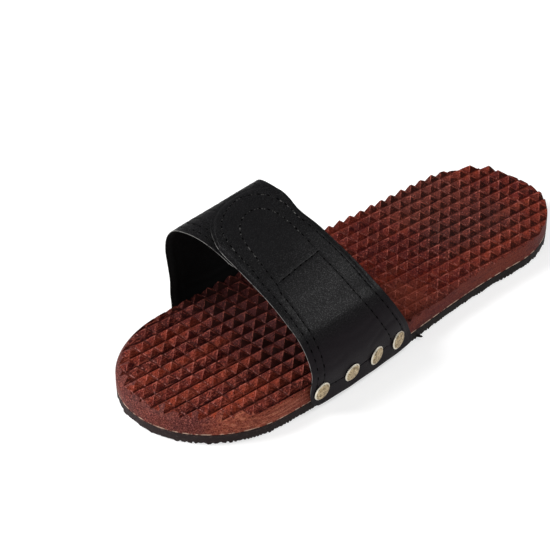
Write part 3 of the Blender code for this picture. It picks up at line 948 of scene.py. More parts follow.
def rubber_finish(settings):
    """Cut rubber sheet: charcoal, with fine pores and a little dust."""
    finish = Finish("black_rubber", 0.16)
    place = finish.place
    grain = place.noise(1600.0, 4.0, 0.7)
    dust = place.stretch(420.0, 420.0, 900.0).noise(1.0, 4.0, 0.7).step(0.50, 0.78)
    _, ahead, height = place.axes()
    sanding = height.step(OUTSOLE_TOP - 0.0016, OUTSOLE_TOP) * dust
    tone = coats(
        settings.rubber,
        ("dust", dust * 0.55, (0.060, 0.050, 0.048)),
        ("wood dust under the board", sanding * 0.6, (0.130, 0.060, 0.045)),
        ("darker to the heel", ahead.step(-0.125, -0.020) * 0.85, (0.0042, 0.0020, 0.0014)),
    )
    finish.feed("Base Color", tone)
    finish.feed("Roughness", 0.62 + grain * 0.25)
    finish.bump(grain, 0.0004)
    return finish.material


def leather_finish(settings):
    """Black satin leather: pebbled on the strap's top, smooth on its sides, which get a paler base as painted
    light.
    """
    finish = Finish("black_leather", 0.05)
    place = finish.place
    aside, ahead, height = place.axes()
    top = height.step(0.030, 0.040)
    pad = aside.step(0.008, 0.0) * ahead.step(-0.0645, -0.0580) * ahead.step(-0.0300, -0.0360)
    # grained: where the grain and its painted glints show most, less on the pad
    grained = top * (1.0 - pad * 0.45)
    pebble = place.cells(1600.0)
    fine = place.noise(1900.0, 3.0, 0.70)
    worn = place.noise(70.0, 3.0, 0.6)
    grain_and_glint_speck = fine.step(0.50, 0.68)
    # Painted light: the sides get a paler base than the top of the strap
    tone = coats(
        (0.0150, 0.0122, 0.0145),
        ("top of the strap", top, settings.leather),
        ("worn top", worn.step(0.35, 0.75) * top * 0.5, (0.0080, 0.0076, 0.0086)),
        # Pale specks: partly the grain's own, partly painted glints
        ("specks", grain_and_glint_speck * (0.10 + grained * 0.45), (0.036, 0.036, 0.037)),
        ("pores", pebble.step(0.35, 0.70) * (0.10 + grained * 0.55), (0.0014, 0.0014, 0.0016)),
    )
    finish.feed("Base Color", tone)
    finish.feed("Roughness", 0.45 + worn * 0.10)
    finish.feed("Coat Weight", top * 0.07 + grain_and_glint_speck * grained * 0.34)
    finish.feed("Coat Roughness", 0.36)
    finish.bump((fine * 0.4 - pebble * 0.6) * (0.20 + grained * 0.80), 0.00050)
    return finish.material


def lining_finish():
    """The strap's inner side: dull black cloth."""
    finish = Finish("strap_lining", 0.10, roughness=0.9)
    weave = finish.place.noise(2400.0, 2.0)
    finish.feed("Base Color", weave.mix((0.0022, 0.0022, 0.0024), (0.0046, 0.0044, 0.0046)))
    finish.bump(weave, 0.00015)
    return finish.material


def edge_finish(settings):
    """The raw cut edge of the leather: dark fibres, grey along the front edge, partly its own raw grey and
    partly painted highlight.
    """
    finish = Finish("leather_edge", 0.1, roughness=0.7)
    _, ahead, height = finish.place.axes()
    # The pale line along the front edge: partly the raw edge's own grey, partly painted highlight
    pale_edge_zone = (ahead.step(-0.0665, -0.0715) + ahead.step(-0.034, -0.026) * 0.15) * height.step(0.004, 0.024)
    pale_and_highlit = finish.place.noise(300.0, 3.0, 0.6).step(0.28, 0.55) * pale_edge_zone
    finish.feed("Base Color", pale_and_highlit.mix((0.007, 0.007, 0.007), settings.edge))
    finish.bump(finish.place.noise(1100.0, 4.0, 0.7), 0.0001)
    return finish.material


def thread_finish(settings, side, wear):
    """Black thread. wear is how much of it is worn grey over the flap."""
    finish = Finish(f"black_thread_{side}", 0.1, roughness=0.7)
    place = finish.place
    worn = place.noise(1300.0, 1.0).step(0.50, 0.66) * place.axes()[0].step(0.006, -0.004)
    finish.feed("Base Color", (worn * wear).mix(settings.thread, (0.105, 0.103, 0.100)))
    finish.bump(place.noise(5200.0, 1.0), 0.0001)
    return finish.material


def tape_finish():
    """Hook-and-loop pad: matted black loops."""
    finish = Finish("fastening_tape", 0.1, roughness=0.95)
    loops = finish.place.cells(1300.0)
    finish.feed("Base Color", loops.mix((0.020, 0.020, 0.020), (0.004, 0.004, 0.004)))
    finish.bump(loops, 0.0004)
    return finish.material


def brass_finish(settings):
    """Old brass: brown and pitted in the middle, with a pale painted highlight along the rim."""
    finish = Finish("old_brass", 0.5, metallic=1.0)
    place = finish.place
    rim = place.node("ShaderNodeAttribute", {"attribute_name": NAIL_RIM_HIGHLIGHT}, output="Fac")
    dull = place.noise(620.0, 4.0, 0.70)
    pits = place.noise(1150.0, 3.0, 0.65)
    tone = coats(
        settings.brass,
        ("tarnish", dull.step(0.36, 0.64), settings.tarnish),
        ("pits", pits.step(0.49, 0.62) * 0.85, (0.085, 0.058, 0.028)),
        # Painted highlight along the rim
        ("rubbed rim", rim.step(0.75, 0.98) * 0.80, (0.88, 0.84, 0.72)),
    )
    finish.feed("Base Color", tone)
    finish.feed("Roughness", 0.36 + dull * 0.26)
    finish.bump(dull * 0.5 + pits * 0.5, 0.00020)
    return finish.material


def floor_finish(settings):
    """Plain pale floor, lit a little from below so that shadows stay soft."""
    finish = Finish("pale_floor", 0.1, roughness=0.8)
    finish.feed("Emission Color", (1.0, 1.0, 1.0, 1.0))
    finish.feed("Emission Strength", settings.floor_glow)
    shade_of_floor = finish.place.noise(3.0, 2.0)
    finish.feed("Base Color", shade_of_floor.mix(settings.floor, [0.985 * c for c in settings.floor]))
    return finish.material


def rim_ring(settings, outline, angle):
    """The board's outline at one angle of its sanded rim, from 0 at its side to 90 degrees on its top."""
    tops, widths = [], []
    for point in outline:
        toe = 1.0 - smoothstep(-LENGTH / 2, RIM_FADE_END, point.y)
        drop = HEEL_RIM_DROP + (TOE_RIM_DROP - HEEL_RIM_DROP) * toe
        width = settings.heel_rim + (settings.toe_rim - settings.heel_rim) * toe
        power = 2.0 / (HEEL_RIM_SQUARENESS + (TOE_RIM_SQUARENESS - HEEL_RIM_SQUARENESS) * toe)
        crown = settings.stud_height + drop + CROWN_CLEARANCE
        tops.append(STUD_TOP + CROWN_CLEARANCE - crown * (1.0 - math.sin(angle) ** power))
        widths.append(width * (1.0 - max(0.0, math.cos(angle)) ** power))
    return [Vector((*point.xy, top)) for point, top in zip(inset_ring(outline, widths, 0.0), tops)]


def kerf_share(x, y):
    """How deep a saw cut is at a place of the stud grid, as a share of its full depth."""
    outer = KERF_OUTER_FADE * smoothstep(0.0, KERF_OUTER_SIDE, x)
    faded = smoothstep(KERF_FADE_START, KERF_FADE_END, y - outer)
    from_side = (x + STUD_CENTRE[0] - FOREFOOT_X) / BALL_HALF
    from_cap = min(0.0, y + STUD_CENTRE[1] - TOE_CAP_Y) / TOE_CAP_LENGTH
    if from_cap < 0.0:
        reach = from_side * from_side + from_cap * from_cap
        faded = max(faded, smoothstep(KERF_RIM_START, KERF_RIM_END, reach))
    return 1.0 - (1.0 - KERF_LEAST) * faded


def stud_block(settings):
    """A slab of blunt pyramids between saw cuts, with its place in its mesh."""
    draw = random.Random(STUD_SEED)
    bm = bmesh.new()
    bmesh.ops.create_grid(bm, x_segments=STUD_COUNT_X, y_segments=STUD_COUNT_Y, size=0.5)
    size = (STUD_COUNT_X * settings.stud_pitch_x, STUD_COUNT_Y * settings.stud_pitch_y, 1.0)
    bmesh.ops.scale(bm, verts=bm.verts, vec=size)

    # Each line between two rows becomes a narrow strip, which is sunk as a saw cut
    inner = [edge for edge in bm.edges if not edge.is_boundary]
    lines = [edge for edge in inner if edge_width(edge) < settings.stud_pitch_x / 2]
    bevel_edges(bm, lines, settings.kerf_width)
    narrow = settings.kerf_width * settings.stud_pitch_y * 1.5
    strips = [face for face in bm.faces if face.calc_area() < narrow]
    studs = [face for face in bm.faces if face.calc_area() >= narrow]
    for vert in only_verts(bmesh.ops.extrude_face_region(bm, geom=strips)["geom"]):
        vert.co.z -= settings.kerf_depth * kerf_share(vert.co.x, vert.co.y)
    bmesh.ops.delete(bm, geom=strips, context="FACES")

    points = bmesh.ops.poke(bm, faces=studs, offset=settings.stud_height)["verts"]
    for vert in points:
        stray = [draw.gauss(0.0, settings.stud_wear) for _ in range(3)]
        chip = draw.random() ** CHIP_RARITY * settings.stud_height * CHIP_SHARE
        vert.co += Vector((stray[0], stray[1], -abs(stray[2]) * WORN_DOWN - chip))
    peaks = set(points)
    ridges = [edge for edge in bm.edges if not peaks.isdisjoint(edge.verts)]
    bevel_edges(bm, ridges, settings.ridge_width, clamp_overlap=True)
    foot = settings.stud_height * RAISED_SHARE
    raised = [edge for edge in bm.edges if max(vert.co.z for vert in edge.verts) > foot]
    bmesh.ops.subdivide_edges(bm, edges=raised, cuts=1, use_grid_fill=True)
    for vert in bm.verts:
        if vert.co.z > 0.0:
            vert.co.z += settings.stud_wear * noise.noise(vert.co * STUD_GRAIN)

    rim = [edge for edge in bm.edges if edge.is_boundary]
    lower = bmesh.ops.extrude_edge_only(bm, edges=rim)["geom"]
    bmesh.ops.translate(bm, verts=only_verts(lower), vec=(0.0, 0.0, -STUD_TOP))
    bmesh.ops.contextual_create(bm, geom=[edge for edge in bm.edges if edge.is_boundary])
    bmesh.ops.recalc_face_normals(bm, faces=bm.faces)
    place = Matrix.Translation((*STUD_CENTRE, STUD_TOP - settings.stud_height))
    bmesh.ops.transform(bm, matrix=place @ Matrix.Rotation(STUD_GRID_TURN, 4, "Z"), verts=bm.verts)
    return bm


def rounded_board(settings):
    """The board before its studs are cut, with its rim rounded by sanding."""
    outline = sole_outline()
    rings = [inset_ring(outline, [0.0] * len(outline), BOARD_BOTTOM)]
    rings += [rim_ring(settings, outline, math.pi / 2 * i / RIM_STEPS) for i in range(RIM_STEPS + 1)]
    return loft(rings)


class SLIPPER_OT_footbed(bpy.types.Operator):
    """Make the wooden footbed with its studs and sanded rim"""

    bl_idname = "slipper.footbed"
    bl_label = "Footbed"

    def execute(self, context):
        settings = context.scene.slipper_sole
        finishes = [cut_wood(settings), sanded_wood(settings)]
        board = rounded_board(settings)
        for face in board.faces:
            face.material_index = 1
        footbed = add_object("wooden_footbed", board, finishes)
        intersect(footbed, add_object("studs", stud_block(settings), finishes))
        shade(footbed, STUD_SHARP_ANGLE)
        seat(footbed, "wood", "footbed")
        return {"FINISHED"}


def ribbed_sheet(settings):
    """A slab with wavy cross ribs under it, from which the outsole is cut."""
    draw = random.Random(TREAD_SEED)
    groove_end, foot_start, foot_end = RIB_PROFILE
    profile = []
    y = -LENGTH / 2 - settings.rib_pitch
    while y < LENGTH / 2 + settings.rib_pitch:
        pitch = settings.rib_pitch * draw.uniform(*RIB_PITCHES)
        low = draw.uniform(*RIB_FEET) * settings.rib_depth
        deep = draw.uniform(*RIB_GROOVES) * settings.rib_depth
        profile += [(y, deep), (y + groove_end * pitch, deep)]
        profile += [(y + foot_start * pitch, low), (y + foot_end * pitch, low)]
        y += pitch
    top = OUTSOLE_TOP + settings.rib_depth
    profile += [(y, settings.rib_depth), (y, top), (profile[0][0], top)]
    bm = bmesh.new()
    section = bm.faces.new([bm.verts.new((-TREAD_HALF, *point)) for point in profile])
    drawn = bmesh.ops.extrude_face_region(bm, geom=[section])["geom"]
    bmesh.ops.translate(bm, verts=only_verts(drawn), vec=(2.0 * TREAD_HALF, 0.0, 0.0))
    long_edges = [edge for edge in bm.edges if edge_width(edge) > TREAD_HALF]
    bmesh.ops.subdivide_edges(bm, edges=long_edges, cuts=RIB_CUTS, use_grid_fill=True)
    for vert in bm.verts:
        vert.co.y += RIB_WAVE * math.sin(vert.co.x * 2.0 * math.pi / RIB_WAVE_LENGTH)
    bmesh.ops.recalc_face_normals(bm, faces=bm.faces)
    return bm


class SLIPPER_OT_outsole(bpy.types.Operator):
    """Make the rubber outsole with its ribbed tread"""

    bl_idname = "slipper.outsole"
    bl_label = "Outsole"

    def execute(self, context):
        settings = context.scene.slipper_sole
        draw = random.Random(CUT_SEED)
        outline = sole_outline()
        rough = [draw.uniform(0.0, ROUGH_CUT) for _ in outline]
        torn = [draw.uniform(0.0, TORN_EDGE) for _ in outline]
        finishes = [rubber_finish(settings)]
        rings = [
            inset_ring(outline, torn, 0.0),
            inset_ring(outline, rough, ROUGH_CUT_HEIGHT),
            inset_ring(outline, [0.0] * len(outline), OUTSOLE_TOP),
        ]
        outsole = add_object("rubber_outsole", loft(rings), finishes)
        intersect(outsole, add_object("ribs", ribbed_sheet(settings), finishes))
        bm = bmesh.new()
        bm.from_mesh(outsole.data)
        turned = Matrix.Translation(BURR_PLACE) @ Matrix.Rotation(BURR_TURN, 4, "Z")
        burr = turned @ Matrix.Diagonal((*BURR_SIZE, 1.0))
        bmesh.ops.create_icosphere(bm, subdivisions=2, radius=1.0, matrix=burr)
        bm.to_mesh(outsole.data)
        bm.free()
        shade(outsole, OUTSOLE_SHARP_ANGLE)
        seat(outsole, "rubber", "outsole")
        return {"FINISHED"}


def arch_lengths():
    """Distance along the arch at each of its rows."""
    lengths = [0.0]
    for before, after in zip(ARCH, ARCH[1:]):
        lengths.append(lengths[-1] + math.hypot(after.reach - before.reach, after.height - before.height))
    return lengths


ARCH_LENGTHS = arch_lengths()
ARCH_LENGTH = ARCH_LENGTHS[-1]


def arch_section(distance):
    """The arch's row at a distance along it, on a smooth curve through the table."""
    distance = min(max(distance, 0.0), ARCH_LENGTH)
    i = 0
    while i < len(ARCH) - 2 and distance > ARCH_LENGTHS[i + 1]:
        i += 1
    span = ARCH_LENGTHS[i + 1] - ARCH_LENGTHS[i]
    t = (distance - ARCH_LENGTHS[i]) / span

    def slope(k, column):
        low, high = max(k - 1, 0), min(k + 1, len(ARCH) - 1)
        return (ARCH[high][column] - ARCH[low][column]) / (ARCH_LENGTHS[high] - ARCH_LENGTHS[low])

    values = []
    for column in range(len(ArchRow._fields)):
        leave, arrive = span * slope(i, column), span * slope(i + 1, column)
        values.append(hermite(ARCH[i][column], ARCH[i + 1][column], leave, arrive, t))
    return ArchRow(*values)


def strap_face(distance, across):
    """A point of the strap's inner face: along the arch, and across from its front edge to its rear."""
    row = arch_section(distance)
    y = row.front + (row.rear - row.front) * across
    side_x = lateral_x if row.reach > 0.0 else medial_x
    x = FOREFOOT_X + row.reach + row.follow * (side_x(y) - side_x(TOE_CAP_Y))
    return Vector((x, y, row.height + row.rise * across))


def strap_frame(distance, across):
    """The place and the outward normal of a point of the strap's inner face."""
    along = strap_face(distance + SLOPE_STEP, across) - strap_face(distance - SLOPE_STEP, across)
    aside = strap_face(distance, across + SLOPE_STEP) - strap_face(distance, across - SLOPE_STEP)
    return strap_face(distance, across), aside.cross(along).normalized()


def strap_width(distance):
    """How wide the strap is at a distance along the arch."""
    row = arch_section(distance)
    return row.rear - row.front


def hem_pull(y, nails):
    """1 where a nail holds the hem, and less between two nails."""
    return max(math.exp(-(((y - nail) / NAIL_HOLD) ** 2)) for nail in nails)


def side_swell(hem, y, nails):
    """How far the leather stands off the sole, at a distance from its nailed hem."""
    bulge = SIDE_BULGE * math.exp(-(((hem - SIDE_BULGE_PLACE) / SIDE_BULGE_SPREAD) ** 2))
    slack = HEM_SLACK * (1.0 - hem_pull(y, nails)) * (1.0 - smoothstep(0.0, HEM_SLACK_REACH, hem))
    return bulge + slack


def hem_line(across, row, nails):
    """The hem's end: rounded at its corners, and drawn up between the nails."""
    y = row.front + (row.rear - row.front) * across
    return HEM_CORNER * round_end(across, HEM_SQUARENESS) + HEM_SCALLOP * (1.0 - hem_pull(y, nails))


def round_end(across, squareness):
    """How far an end with rounded corners falls back, from 0 in the middle to 1 at the strap's edges."""
    return 1.0 - (1.0 - abs(2.0 * across - 1.0) ** squareness) ** (1.0 / squareness)


def flap_end(across):
    """Where the flap's round end lies along the arch."""
    return FLAP_TIP + FLAP_SKEW * (across - 0.5) - FLAP_ROUND * round_end(across, 2)


def lateral_lift(distance, across):
    """The lateral half climbs over the end of the medial half, with its edges pressed down to it."""
    row = arch_section(distance)
    width = row.rear - row.front
    side = 1.0 - smoothstep(0.0, PRESSED_WIDTH, min(across, 1.0 - across) * width)
    end = 1.0 - smoothstep(0.0, PRESSED_WIDTH, flap_end(across) - distance)
    pressed = max(PRESSED_EDGE * side, PRESSED_END * end)
    climb = smoothstep(CLIMB_START, CLIMB_END, distance)
    return climb * (FLAP_LIFT - pressed) + side_swell(distance, row.front + across * width, LATERAL_NAIL_Y)


def medial_lift(distance, across):
    """The medial half lies on the foot's side of the flap."""
    row = arch_section(distance)
    y = row.front + across * (row.rear - row.front)
    return side_swell(ARCH_LENGTH - distance, y, MEDIAL_NAIL_Y)


def full_width(distance):
    """No margin at the front or the rear edge."""
    return 0.0, 0.0


def tucked_width(distance):
    """Margins of the medial half at its front and rear edges: it is narrower under the flap."""
    width = strap_width(distance)
    ends = (FRONT_TUCK_END, REAR_TUCK_END)
    return tuple(TUCK / width * (1.0 - smoothstep(end - TUCK_FADE, end, distance)) for end in ends)


def pad_width(distance):
    """Margins of the fastening pad."""
    return TAPE_INSET / FLAP_WIDTH, TAPE_INSET / FLAP_WIDTH


def smooth_path(points, step):
    """Points at even steps along a smooth curve through the given ones."""
    points = [Vector(point) for point in points]
    fine = []
    for i in range(len(points) - 1):
        before, start = points[max(i - 1, 0)], points[i]
        end, after = points[i + 1], points[min(i + 2, len(points) - 1)]
        leave, arrive = (end - before) * 0.5, (after - start) * 0.5
        pieces = max(2, round((end - start).length / CURVE_STEP))
        fine += [hermite(start, end, leave, arrive, k / pieces) for k in range(pieces)]
    fine.append(points[-1])
    walked, left = [fine[0]], step
    for start, end in zip(fine, fine[1:]):
        length = (end - start).length
        while length > 0.0 and left <= length:
            walked.append(start.lerp(end, left / length))
            left += step
        left -= length
    return walked


def edge_row(start, end, inset, rear):
    """A row along one of the strap's long edges, as places along the arch and from the front edge."""
    places = [start + (end - start) * i / EDGE_ROW_STEPS for i in range(EDGE_ROW_STEPS + 1)]
    return [(place, strap_width(place) - inset if rear else inset) for place in places]


def lateral_rows():
    """The rows of stitches on the lateral half."""
    flap = edge_row(HEM_ROW, FLAP_ROW[0][0] - FLAP_ROW_JOIN, FRONT_INSETS[0], False)
    flap += list(FLAP_ROW)
    flap += edge_row(FLAP_ROW[-1][0] - FLAP_ROW_JOIN, HEM_ROW, REAR_INSETS[0], True)
    front = edge_row(HEM_ROW, PAD_ROW[0][0] - PAD_ROW_JOIN, FRONT_INSETS[1], False) + [PAD_ROW[0]]
    rear = edge_row(HEM_ROW, PAD_ROW[-1][0] - PAD_ROW_JOIN, REAR_INSETS[1], True) + [PAD_ROW[-1]]
    hem = [front[0], *HEM_ROW_BENDS, rear[0]]
    return [flap, front, rear, hem, PAD_ROW, PAD_CLOSING_ROW]


def medial_rows():
    """The rows of stitches on the medial half."""
    start, end = MEDIAL_ROW_START, ARCH_LENGTH - HEM_ROW
    front = [edge_row(start, end, inset, False) for inset in FRONT_INSETS]
    rear = [edge_row(start, end, inset, True) for inset in REAR_INSETS]
    hem = [front[1][-1], rear[1][-1]]
    return [*front, *rear, hem]


def row_tree(rows):
    """A search tree of all places on the rows."""
    places = [place for row in rows for place in smooth_path(row, SEARCH_STEP)]
    tree = KDTree(len(places))
    for i, place in enumerate(places):
        tree.insert((place.x, place.y, 0.0), i)
    tree.balance()
    return tree


def strap_sheet(name, steps, start, end, lift, margins, thickness, materials, thin_end=False):
    """A sheet of the strap between two ends, which are functions of the place across.

    It is skived along its long edges, and along its end if asked for.
    """
    bm = bmesh.new()
    bmesh.ops.create_grid(bm, x_segments=steps[0], y_segments=steps[1], size=0.5)
    shares = bm.verts.layers.deform.verify()
    for vert in bm.verts:
        crowded = math.sin(math.pi * vert.co.y) / 2
        across = 0.5 + EDGE_CROWDING * crowded + (1.0 - EDGE_CROWDING) * vert.co.y
        last = end(across)
        distance = start(across) + (last - start(across)) * (vert.co.x + 0.5)
        gap = min(across, 1.0 - across) * strap_width(distance)
        if thin_end:
            gap = min(gap, last - distance)
        share = SKIVED_SHARE + (1.0 - SKIVED_SHARE) * smoothstep(0.0, SKIVED_WIDTH, gap)
        vert[shares][0] = share
        front, rear = margins(distance)
        across = front + (1.0 - front - rear) * across
        place, normal = strap_frame(distance, across)
        vert.co = place + normal * (lift(distance, across) + thickness * (1.0 - share))
    # Along the arch and then across turns the grid's faces inwards
    bmesh.ops.reverse_faces(bm, faces=bm.faces)
    sheet = add_object(name, bm, materials)
    sheet.data.shade_smooth()
    sheet.vertex_groups.new(name=SKIVING)
    wall = sheet.modifiers.new("wall", "SOLIDIFY")
    wall.vertex_group = SKIVING
    wall.thickness = thickness
    wall.offset = 1.0
    wall.material_offset = 1
    wall.material_offset_rim = 2
    soft = sheet.modifiers.new("soft edge", "BEVEL")
    soft.width = EDGE_BEVEL
    soft.segments = 2
    soft.limit_method = "ANGLE"
    soft.angle_limit = EDGE_BEVEL_ANGLE
    return sheet


def crease_profile(gap):
    """A valley with low lips, over the distance from its middle in half widths."""
    return (CREASE_LIPS * gap * gap - 1.0) * math.exp(-gap * gap)


def sewn_lift(rows, creases, base_lift, settings):
    """The sheet's height over the CAD strap: drawn in along its stitches, creased and slightly wavy."""
    row_places = row_tree(rows)
    folds = [(row_tree([crease.path]), crease) for crease in creases]

    def lift(distance, across):
        place = Vector((distance, across * strap_width(distance), 0.0))
        gap = row_places.find(place)[2]
        sewn = settings.row_depth * math.exp(-((gap / settings.row_spread) ** 2))
        height = base_lift(distance, across) - sewn
        for tree, crease in folds:
            height += crease.depth * crease_profile(tree.find(place)[2] / crease.width)
        hem = min(distance, ARCH_LENGTH - distance)
        return height + LEATHER_WAVE * smoothstep(*WAVE_FADE, hem) * noise.noise(place * LEATHER_WAVES)

    return lift


def lateral_relief(settings):
    """The height of the lateral half over the CAD strap."""
    return sewn_lift(lateral_rows(), LATERAL_CREASES, lateral_lift, settings)


def medial_relief(settings):
    """The height of the medial half over the CAD strap."""
    return sewn_lift(medial_rows(), MEDIAL_CREASES, medial_lift, settings)


class SLIPPER_OT_strap(bpy.types.Operator):
    """Make both halves of the leather strap"""

    bl_idname = "slipper.strap"
    bl_label = "Strap"

    def execute(self, context):
        settings = context.scene.slipper_strap
        materials = [leather_finish(settings), lining_finish(), edge_finish(settings)]
        lateral = strap_sheet(
            "leather_strap_lateral",
            STRAP_STEPS,
            lambda across: hem_line(across, ARCH[0], LATERAL_NAIL_Y),
            flap_end,
            lateral_relief(settings),
            full_width,
            settings.thickness,
            materials,
            thin_end=True,
        )
        medial = strap_sheet(
            "leather_strap_medial",
            STRAP_STEPS,
            lambda across: MEDIAL_END + HEM_CORNER * round_end(across, HEM_SQUARENESS),
            lambda across: ARCH_LENGTH - hem_line(across, ARCH[-1], MEDIAL_NAIL_Y),
            medial_relief(settings),
            tucked_width,
            settings.thickness,
            materials,
        )
        seat(lateral, "leather", "strap_lateral")
        seat(medial, "leather", "strap_medial")
        return {"FINISHED"}


class SLIPPER_OT_tape(bpy.types.Operator):
    """Make the hook-and-loop pad under the flap"""

    bl_idname = "slipper.tape"
    bl_label = "Fastening tape"

    def execute(self, context):
        settings = context.scene.slipper_strap
        tape = strap_sheet(
            "hook_and_loop_pad",
            PAD_STEPS,
            lambda across: TAPE_START,
            lambda across: flap_end(across) - TAPE_INSET,
            lambda distance, across: TAPE_LIFT,
            pad_width,
            settings.tape_thickness,
            [tape_finish()] * 3,
        )
        seat(tape, "tape", "fastening_tape")
        return {"FINISHED"}


def stitch_rows(name, rows, relief, settings, materials):
    """All stitches of some rows with black discs of painted shade at the needle holes between them, as one
    piece.
    """
    bm = bmesh.new()
    half = settings.thread_width / 2
    size = Matrix.Diagonal((half, half, settings.stitch_length / 2, 1.0))
    hole_size = Matrix.Diagonal((settings.hole_width / 2, HOLE_CROWN, settings.hole_length / 2, 1.0))
    for row in rows:
        places = smooth_path(row, settings.stitch_pitch)
        for before, after in zip(places, places[1:]):
            ends = []
            for place in (before, after):
                across = place.y / strap_width(place.x)
                point, normal = strap_frame(place.x, across)
                ends.append(point + normal * (relief(place.x, across) + settings.thickness))
            along = (ends[1] - ends[0]).normalized()
            side = normal.cross(along).normalized()
            turn = Matrix((side, along.cross(side), along)).transposed().to_4x4()
            thread = Matrix.Translation((ends[0] + ends[1]) / 2) @ turn @ size
            bmesh.ops.create_uvsphere(bm, **STITCH_MESH, matrix=thread)
            # A black disc at the needle hole: painted shade
            hole = Matrix.Translation(ends[0]) @ turn @ hole_size
            made = bmesh.ops.create_uvsphere(bm, **STITCH_MESH, matrix=hole)
            for face in {face for vert in made["verts"] for face in vert.link_faces}:
                face.material_index = 1
    stitches = add_object(name, bm, materials)
    stitches.data.shade_smooth()
    return stitches


class SLIPPER_OT_stitching(bpy.types.Operator):
    """Sew the rows of stitches on both halves of the strap"""

    bl_idname = "slipper.stitching"
    bl_label = "Stitching"

    def execute(self, context):
        settings = context.scene.slipper_strap
        sides = (
            ("lateral", lateral_rows(), lateral_relief(settings), 1.0),
            ("medial", medial_rows(), medial_relief(settings), 0.0),
        )
        # Painted shade of the needle holes
        hole = Finish("needle_hole", 0.0, roughness=1.0)
        hole.feed("Base Color", (0.0005, 0.0005, 0.0005, 1.0))
        for side, rows, relief, wear in sides:
            materials = [thread_finish(settings, side, wear), hole.material]
            seat(stitch_rows(f"stitches_{side}", rows, relief, settings, materials), "leather")
        return {"FINISHED"}


def nail_frame(side_x, outward, y, droop, turn):
    """Where a nail's head sits on the strap, with its Z pointing out of the sole's side."""
    slope = (side_x(y + SLOPE_STEP) - side_x(y - SLOPE_STEP)) / (2.0 * SLOPE_STEP)
    normal = Vector((outward, math.tan(turn) - outward * slope, -math.tan(droop))).normalized()
    place = Vector((side_x(y), y, NAIL_HEIGHT)) + normal * NAIL_SEAT
    return Matrix.Translation(place) @ normal.to_track_quat("Z", "Y").to_matrix().to_4x4()


def nail_shape(settings, place):
    """A hammered nail about Z, moved to its place: a domed head with a thin rolled rim over a shank."""
    radius, height = settings.head_radius, settings.head_height
    bm = bmesh.new()
    profile = [(0.0, height)]
    for share in DOME_SHARES:
        rise = DOME_FOOT + (1.0 - DOME_FOOT) * math.sqrt(1.0 - share**DOME_POWER)
        profile.append((share * radius, rise * height))
    profile += [(share * radius, rise * height) for share, rise in ROLLED_RIM]
    profile += [
        (SHANK_RADIUS, 0.0),
        (SHANK_RADIUS, SHANK_POINT - settings.shank_length),
        (0.0, -settings.shank_length),
    ]
    verts = [bm.verts.new((r, 0.0, z)) for r, z in profile]
    edges = [bm.edges.new(pair) for pair in zip(verts, verts[1:])]
    bmesh.ops.spin(
        bm,
        geom=verts + edges,
        cent=(0.0, 0.0, 0.0),
        axis=(0.0, 0.0, 1.0),
        angle=2.0 * math.pi,
        steps=settings.steps,
        use_merge=True,
    )
    bmesh.ops.remove_doubles(bm, verts=bm.verts, dist=NAIL_MERGE)
    bmesh.ops.recalc_face_normals(bm, faces=bm.faces)
    bmesh.ops.transform(bm, matrix=place, verts=bm.verts)
    outward = (place.to_3x3() @ Vector((0.0, 0.0, 1.0))).normalized()
    # The rim's painted highlight, as a share of the head's radius from its middle
    rim = bm.verts.layers.float.new(NAIL_RIM_HIGHLIGHT)
    for vert in bm.verts:
        from_middle = vert.co - place.translation
        rise = from_middle.dot(outward)
        vert[rim] = smoothstep(RIM_HIGHLIGHT_START, RIM_HIGHLIGHT_FULL, (from_middle - outward * rise).length / radius)
        if rise > HAMMERED_FROM * height:
            vert.co += outward * HAMMER_DEPTH * noise.noise(vert.co * HAMMER_MARKS)
    return bm


class SLIPPER_OT_nails(bpy.types.Operator):
    """Drive the brass nails along both hems"""

    bl_idname = "slipper.nails"
    bl_label = "Nails"

    def execute(self, context):
        settings = context.scene.slipper_nails
        draw = random.Random(NAIL_SEED)
        brass = brass_finish(settings)
        sides = (
            ("lateral", lateral_x, 1.0, LATERAL_NAIL_Y),
            ("medial", medial_x, -1.0, MEDIAL_NAIL_Y),
        )
        for side, side_x, outward, places in sides:
            for i, (y, droop, turn) in enumerate(zip(places, NAIL_DROOPS, NAIL_TURNS)):
                place = nail_frame(side_x, outward, y, droop, turn)
                for axis in "XY":
                    lean = math.radians(draw.uniform(-NAIL_LEAN_DEGREES, NAIL_LEAN_DEGREES))
                    place = place @ Matrix.Rotation(lean, 4, axis)
                shape = nail_shape(settings, place)
                nail = add_object(f"brass_nail_{side}_{i + 1}", shape, [brass])
                shade(nail, NAIL_SHARP_ANGLE)
                seat(nail, "brass", f"nail_{side}_{i + 1}")
        return {"FINISHED"}


def add_light(lamp, power):
    """A square area light that looks at the origin."""
    light = bpy.data.lights.new(lamp.name, "AREA")
    light.energy = power
    light.size = lamp.size
    obj = bpy.data.objects.new(lamp.name, light)
    bpy.context.scene.collection.objects.link(obj)
    obj.location = lamp.place
    obj.rotation_euler = (-Vector(lamp.place)).to_track_quat("-Z", "Y").to_euler()


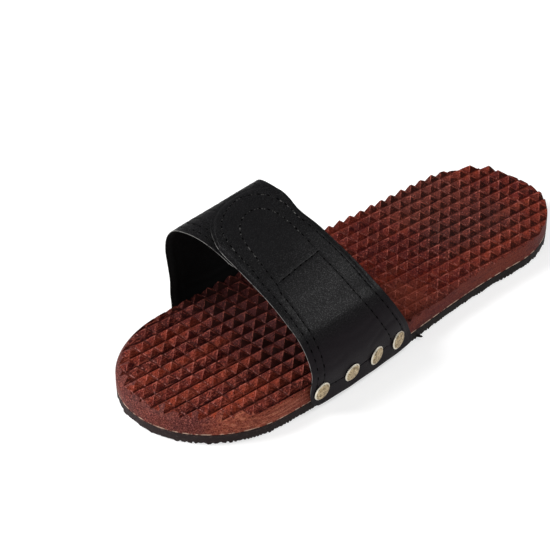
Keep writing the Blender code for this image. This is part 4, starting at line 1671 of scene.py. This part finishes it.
class SLIPPER_OT_stage(bpy.types.Operator):
    """Set the floor, the lights and the camera"""

    bl_idname = "slipper.stage"
    bl_label = "Stage"

    def execute(self, context):
        scene = context.scene
        settings = scene.slipper_stage
        bm = bmesh.new()
        bmesh.ops.create_grid(bm, x_segments=1, y_segments=1, size=FLOOR_HALF)
        add_object("floor", bm, [floor_finish(settings)])

        world = bpy.data.worlds.new("studio")
        world.use_nodes = True
        backdrop = world.node_tree.nodes["Background"]
        backdrop.inputs["Color"].default_value = (1.0, 1.0, 1.0, 1.0)
        backdrop.inputs["Strength"].default_value = settings.backdrop
        scene.world = world
        for lamp in LAMPS:
            add_light(lamp, getattr(settings, lamp.name))

        azimuth, elevation = settings.azimuth, settings.elevation
        back = Vector(
            (
                math.sin(azimuth) * math.cos(elevation),
                -math.cos(azimuth) * math.cos(elevation),
                math.sin(elevation),
            )
        )
        lens = bpy.data.cameras.new("camera")
        lens.sensor_width = SENSOR_WIDTH
        lens.lens = settings.lens
        camera = bpy.data.objects.new("camera", lens)
        scene.collection.objects.link(camera)
        camera.location = Vector(settings.target) + back * settings.distance
        camera.rotation_euler = back.to_track_quat("Z", "Y").to_euler()
        scene.camera = camera
        scene.view_settings.view_transform = "Standard"
        return {"FINISHED"}


class SLIPPER_PT_sidebar(bpy.types.Panel):
    """Lists the slipper's pieces and their settings"""

    bl_idname = "SLIPPER_PT_sidebar"
    bl_label = "Massage slipper"
    bl_space_type = "VIEW_3D"
    bl_region_type = "UI"
    bl_category = "Slipper"

    def draw(self, context):
        for operator in OPERATORS:
            self.layout.operator(operator.bl_idname)
        for name, group in SETTINGS.items():
            box = self.layout.box()
            for key in group.__annotations__:
                box.prop(getattr(context.scene, name), key)


SETTINGS = {
    "slipper_sole": SoleSettings,
    "slipper_strap": StrapSettings,
    "slipper_nails": NailSettings,
    "slipper_stage": StageSettings,
}
OPERATORS = (
    SLIPPER_OT_outsole,
    SLIPPER_OT_footbed,
    SLIPPER_OT_strap,
    SLIPPER_OT_tape,
    SLIPPER_OT_stitching,
    SLIPPER_OT_nails,
    SLIPPER_OT_stage,
)


def register():
    """Adds the settings, the operators and the panel to Blender."""
    for cls in (*SETTINGS.values(), *OPERATORS, SLIPPER_PT_sidebar):
        bpy.utils.register_class(cls)
    for name, group in SETTINGS.items():
        setattr(bpy.types.Scene, name, PointerProperty(type=group))


def unregister():
    """Takes them away again."""
    for name in SETTINGS:
        delattr(bpy.types.Scene, name)
    for cls in reversed((*SETTINGS.values(), *OPERATORS, SLIPPER_PT_sidebar)):
        bpy.utils.unregister_class(cls)


def main():
    """Makes all pieces and the stage."""
    register()
    bpy.ops.slipper.outsole()
    bpy.ops.slipper.footbed()
    bpy.ops.slipper.strap()
    bpy.ops.slipper.tape()
    bpy.ops.slipper.stitching()
    bpy.ops.slipper.nails()
    bpy.ops.slipper.stage()


if __name__ == "__main__":
    main()
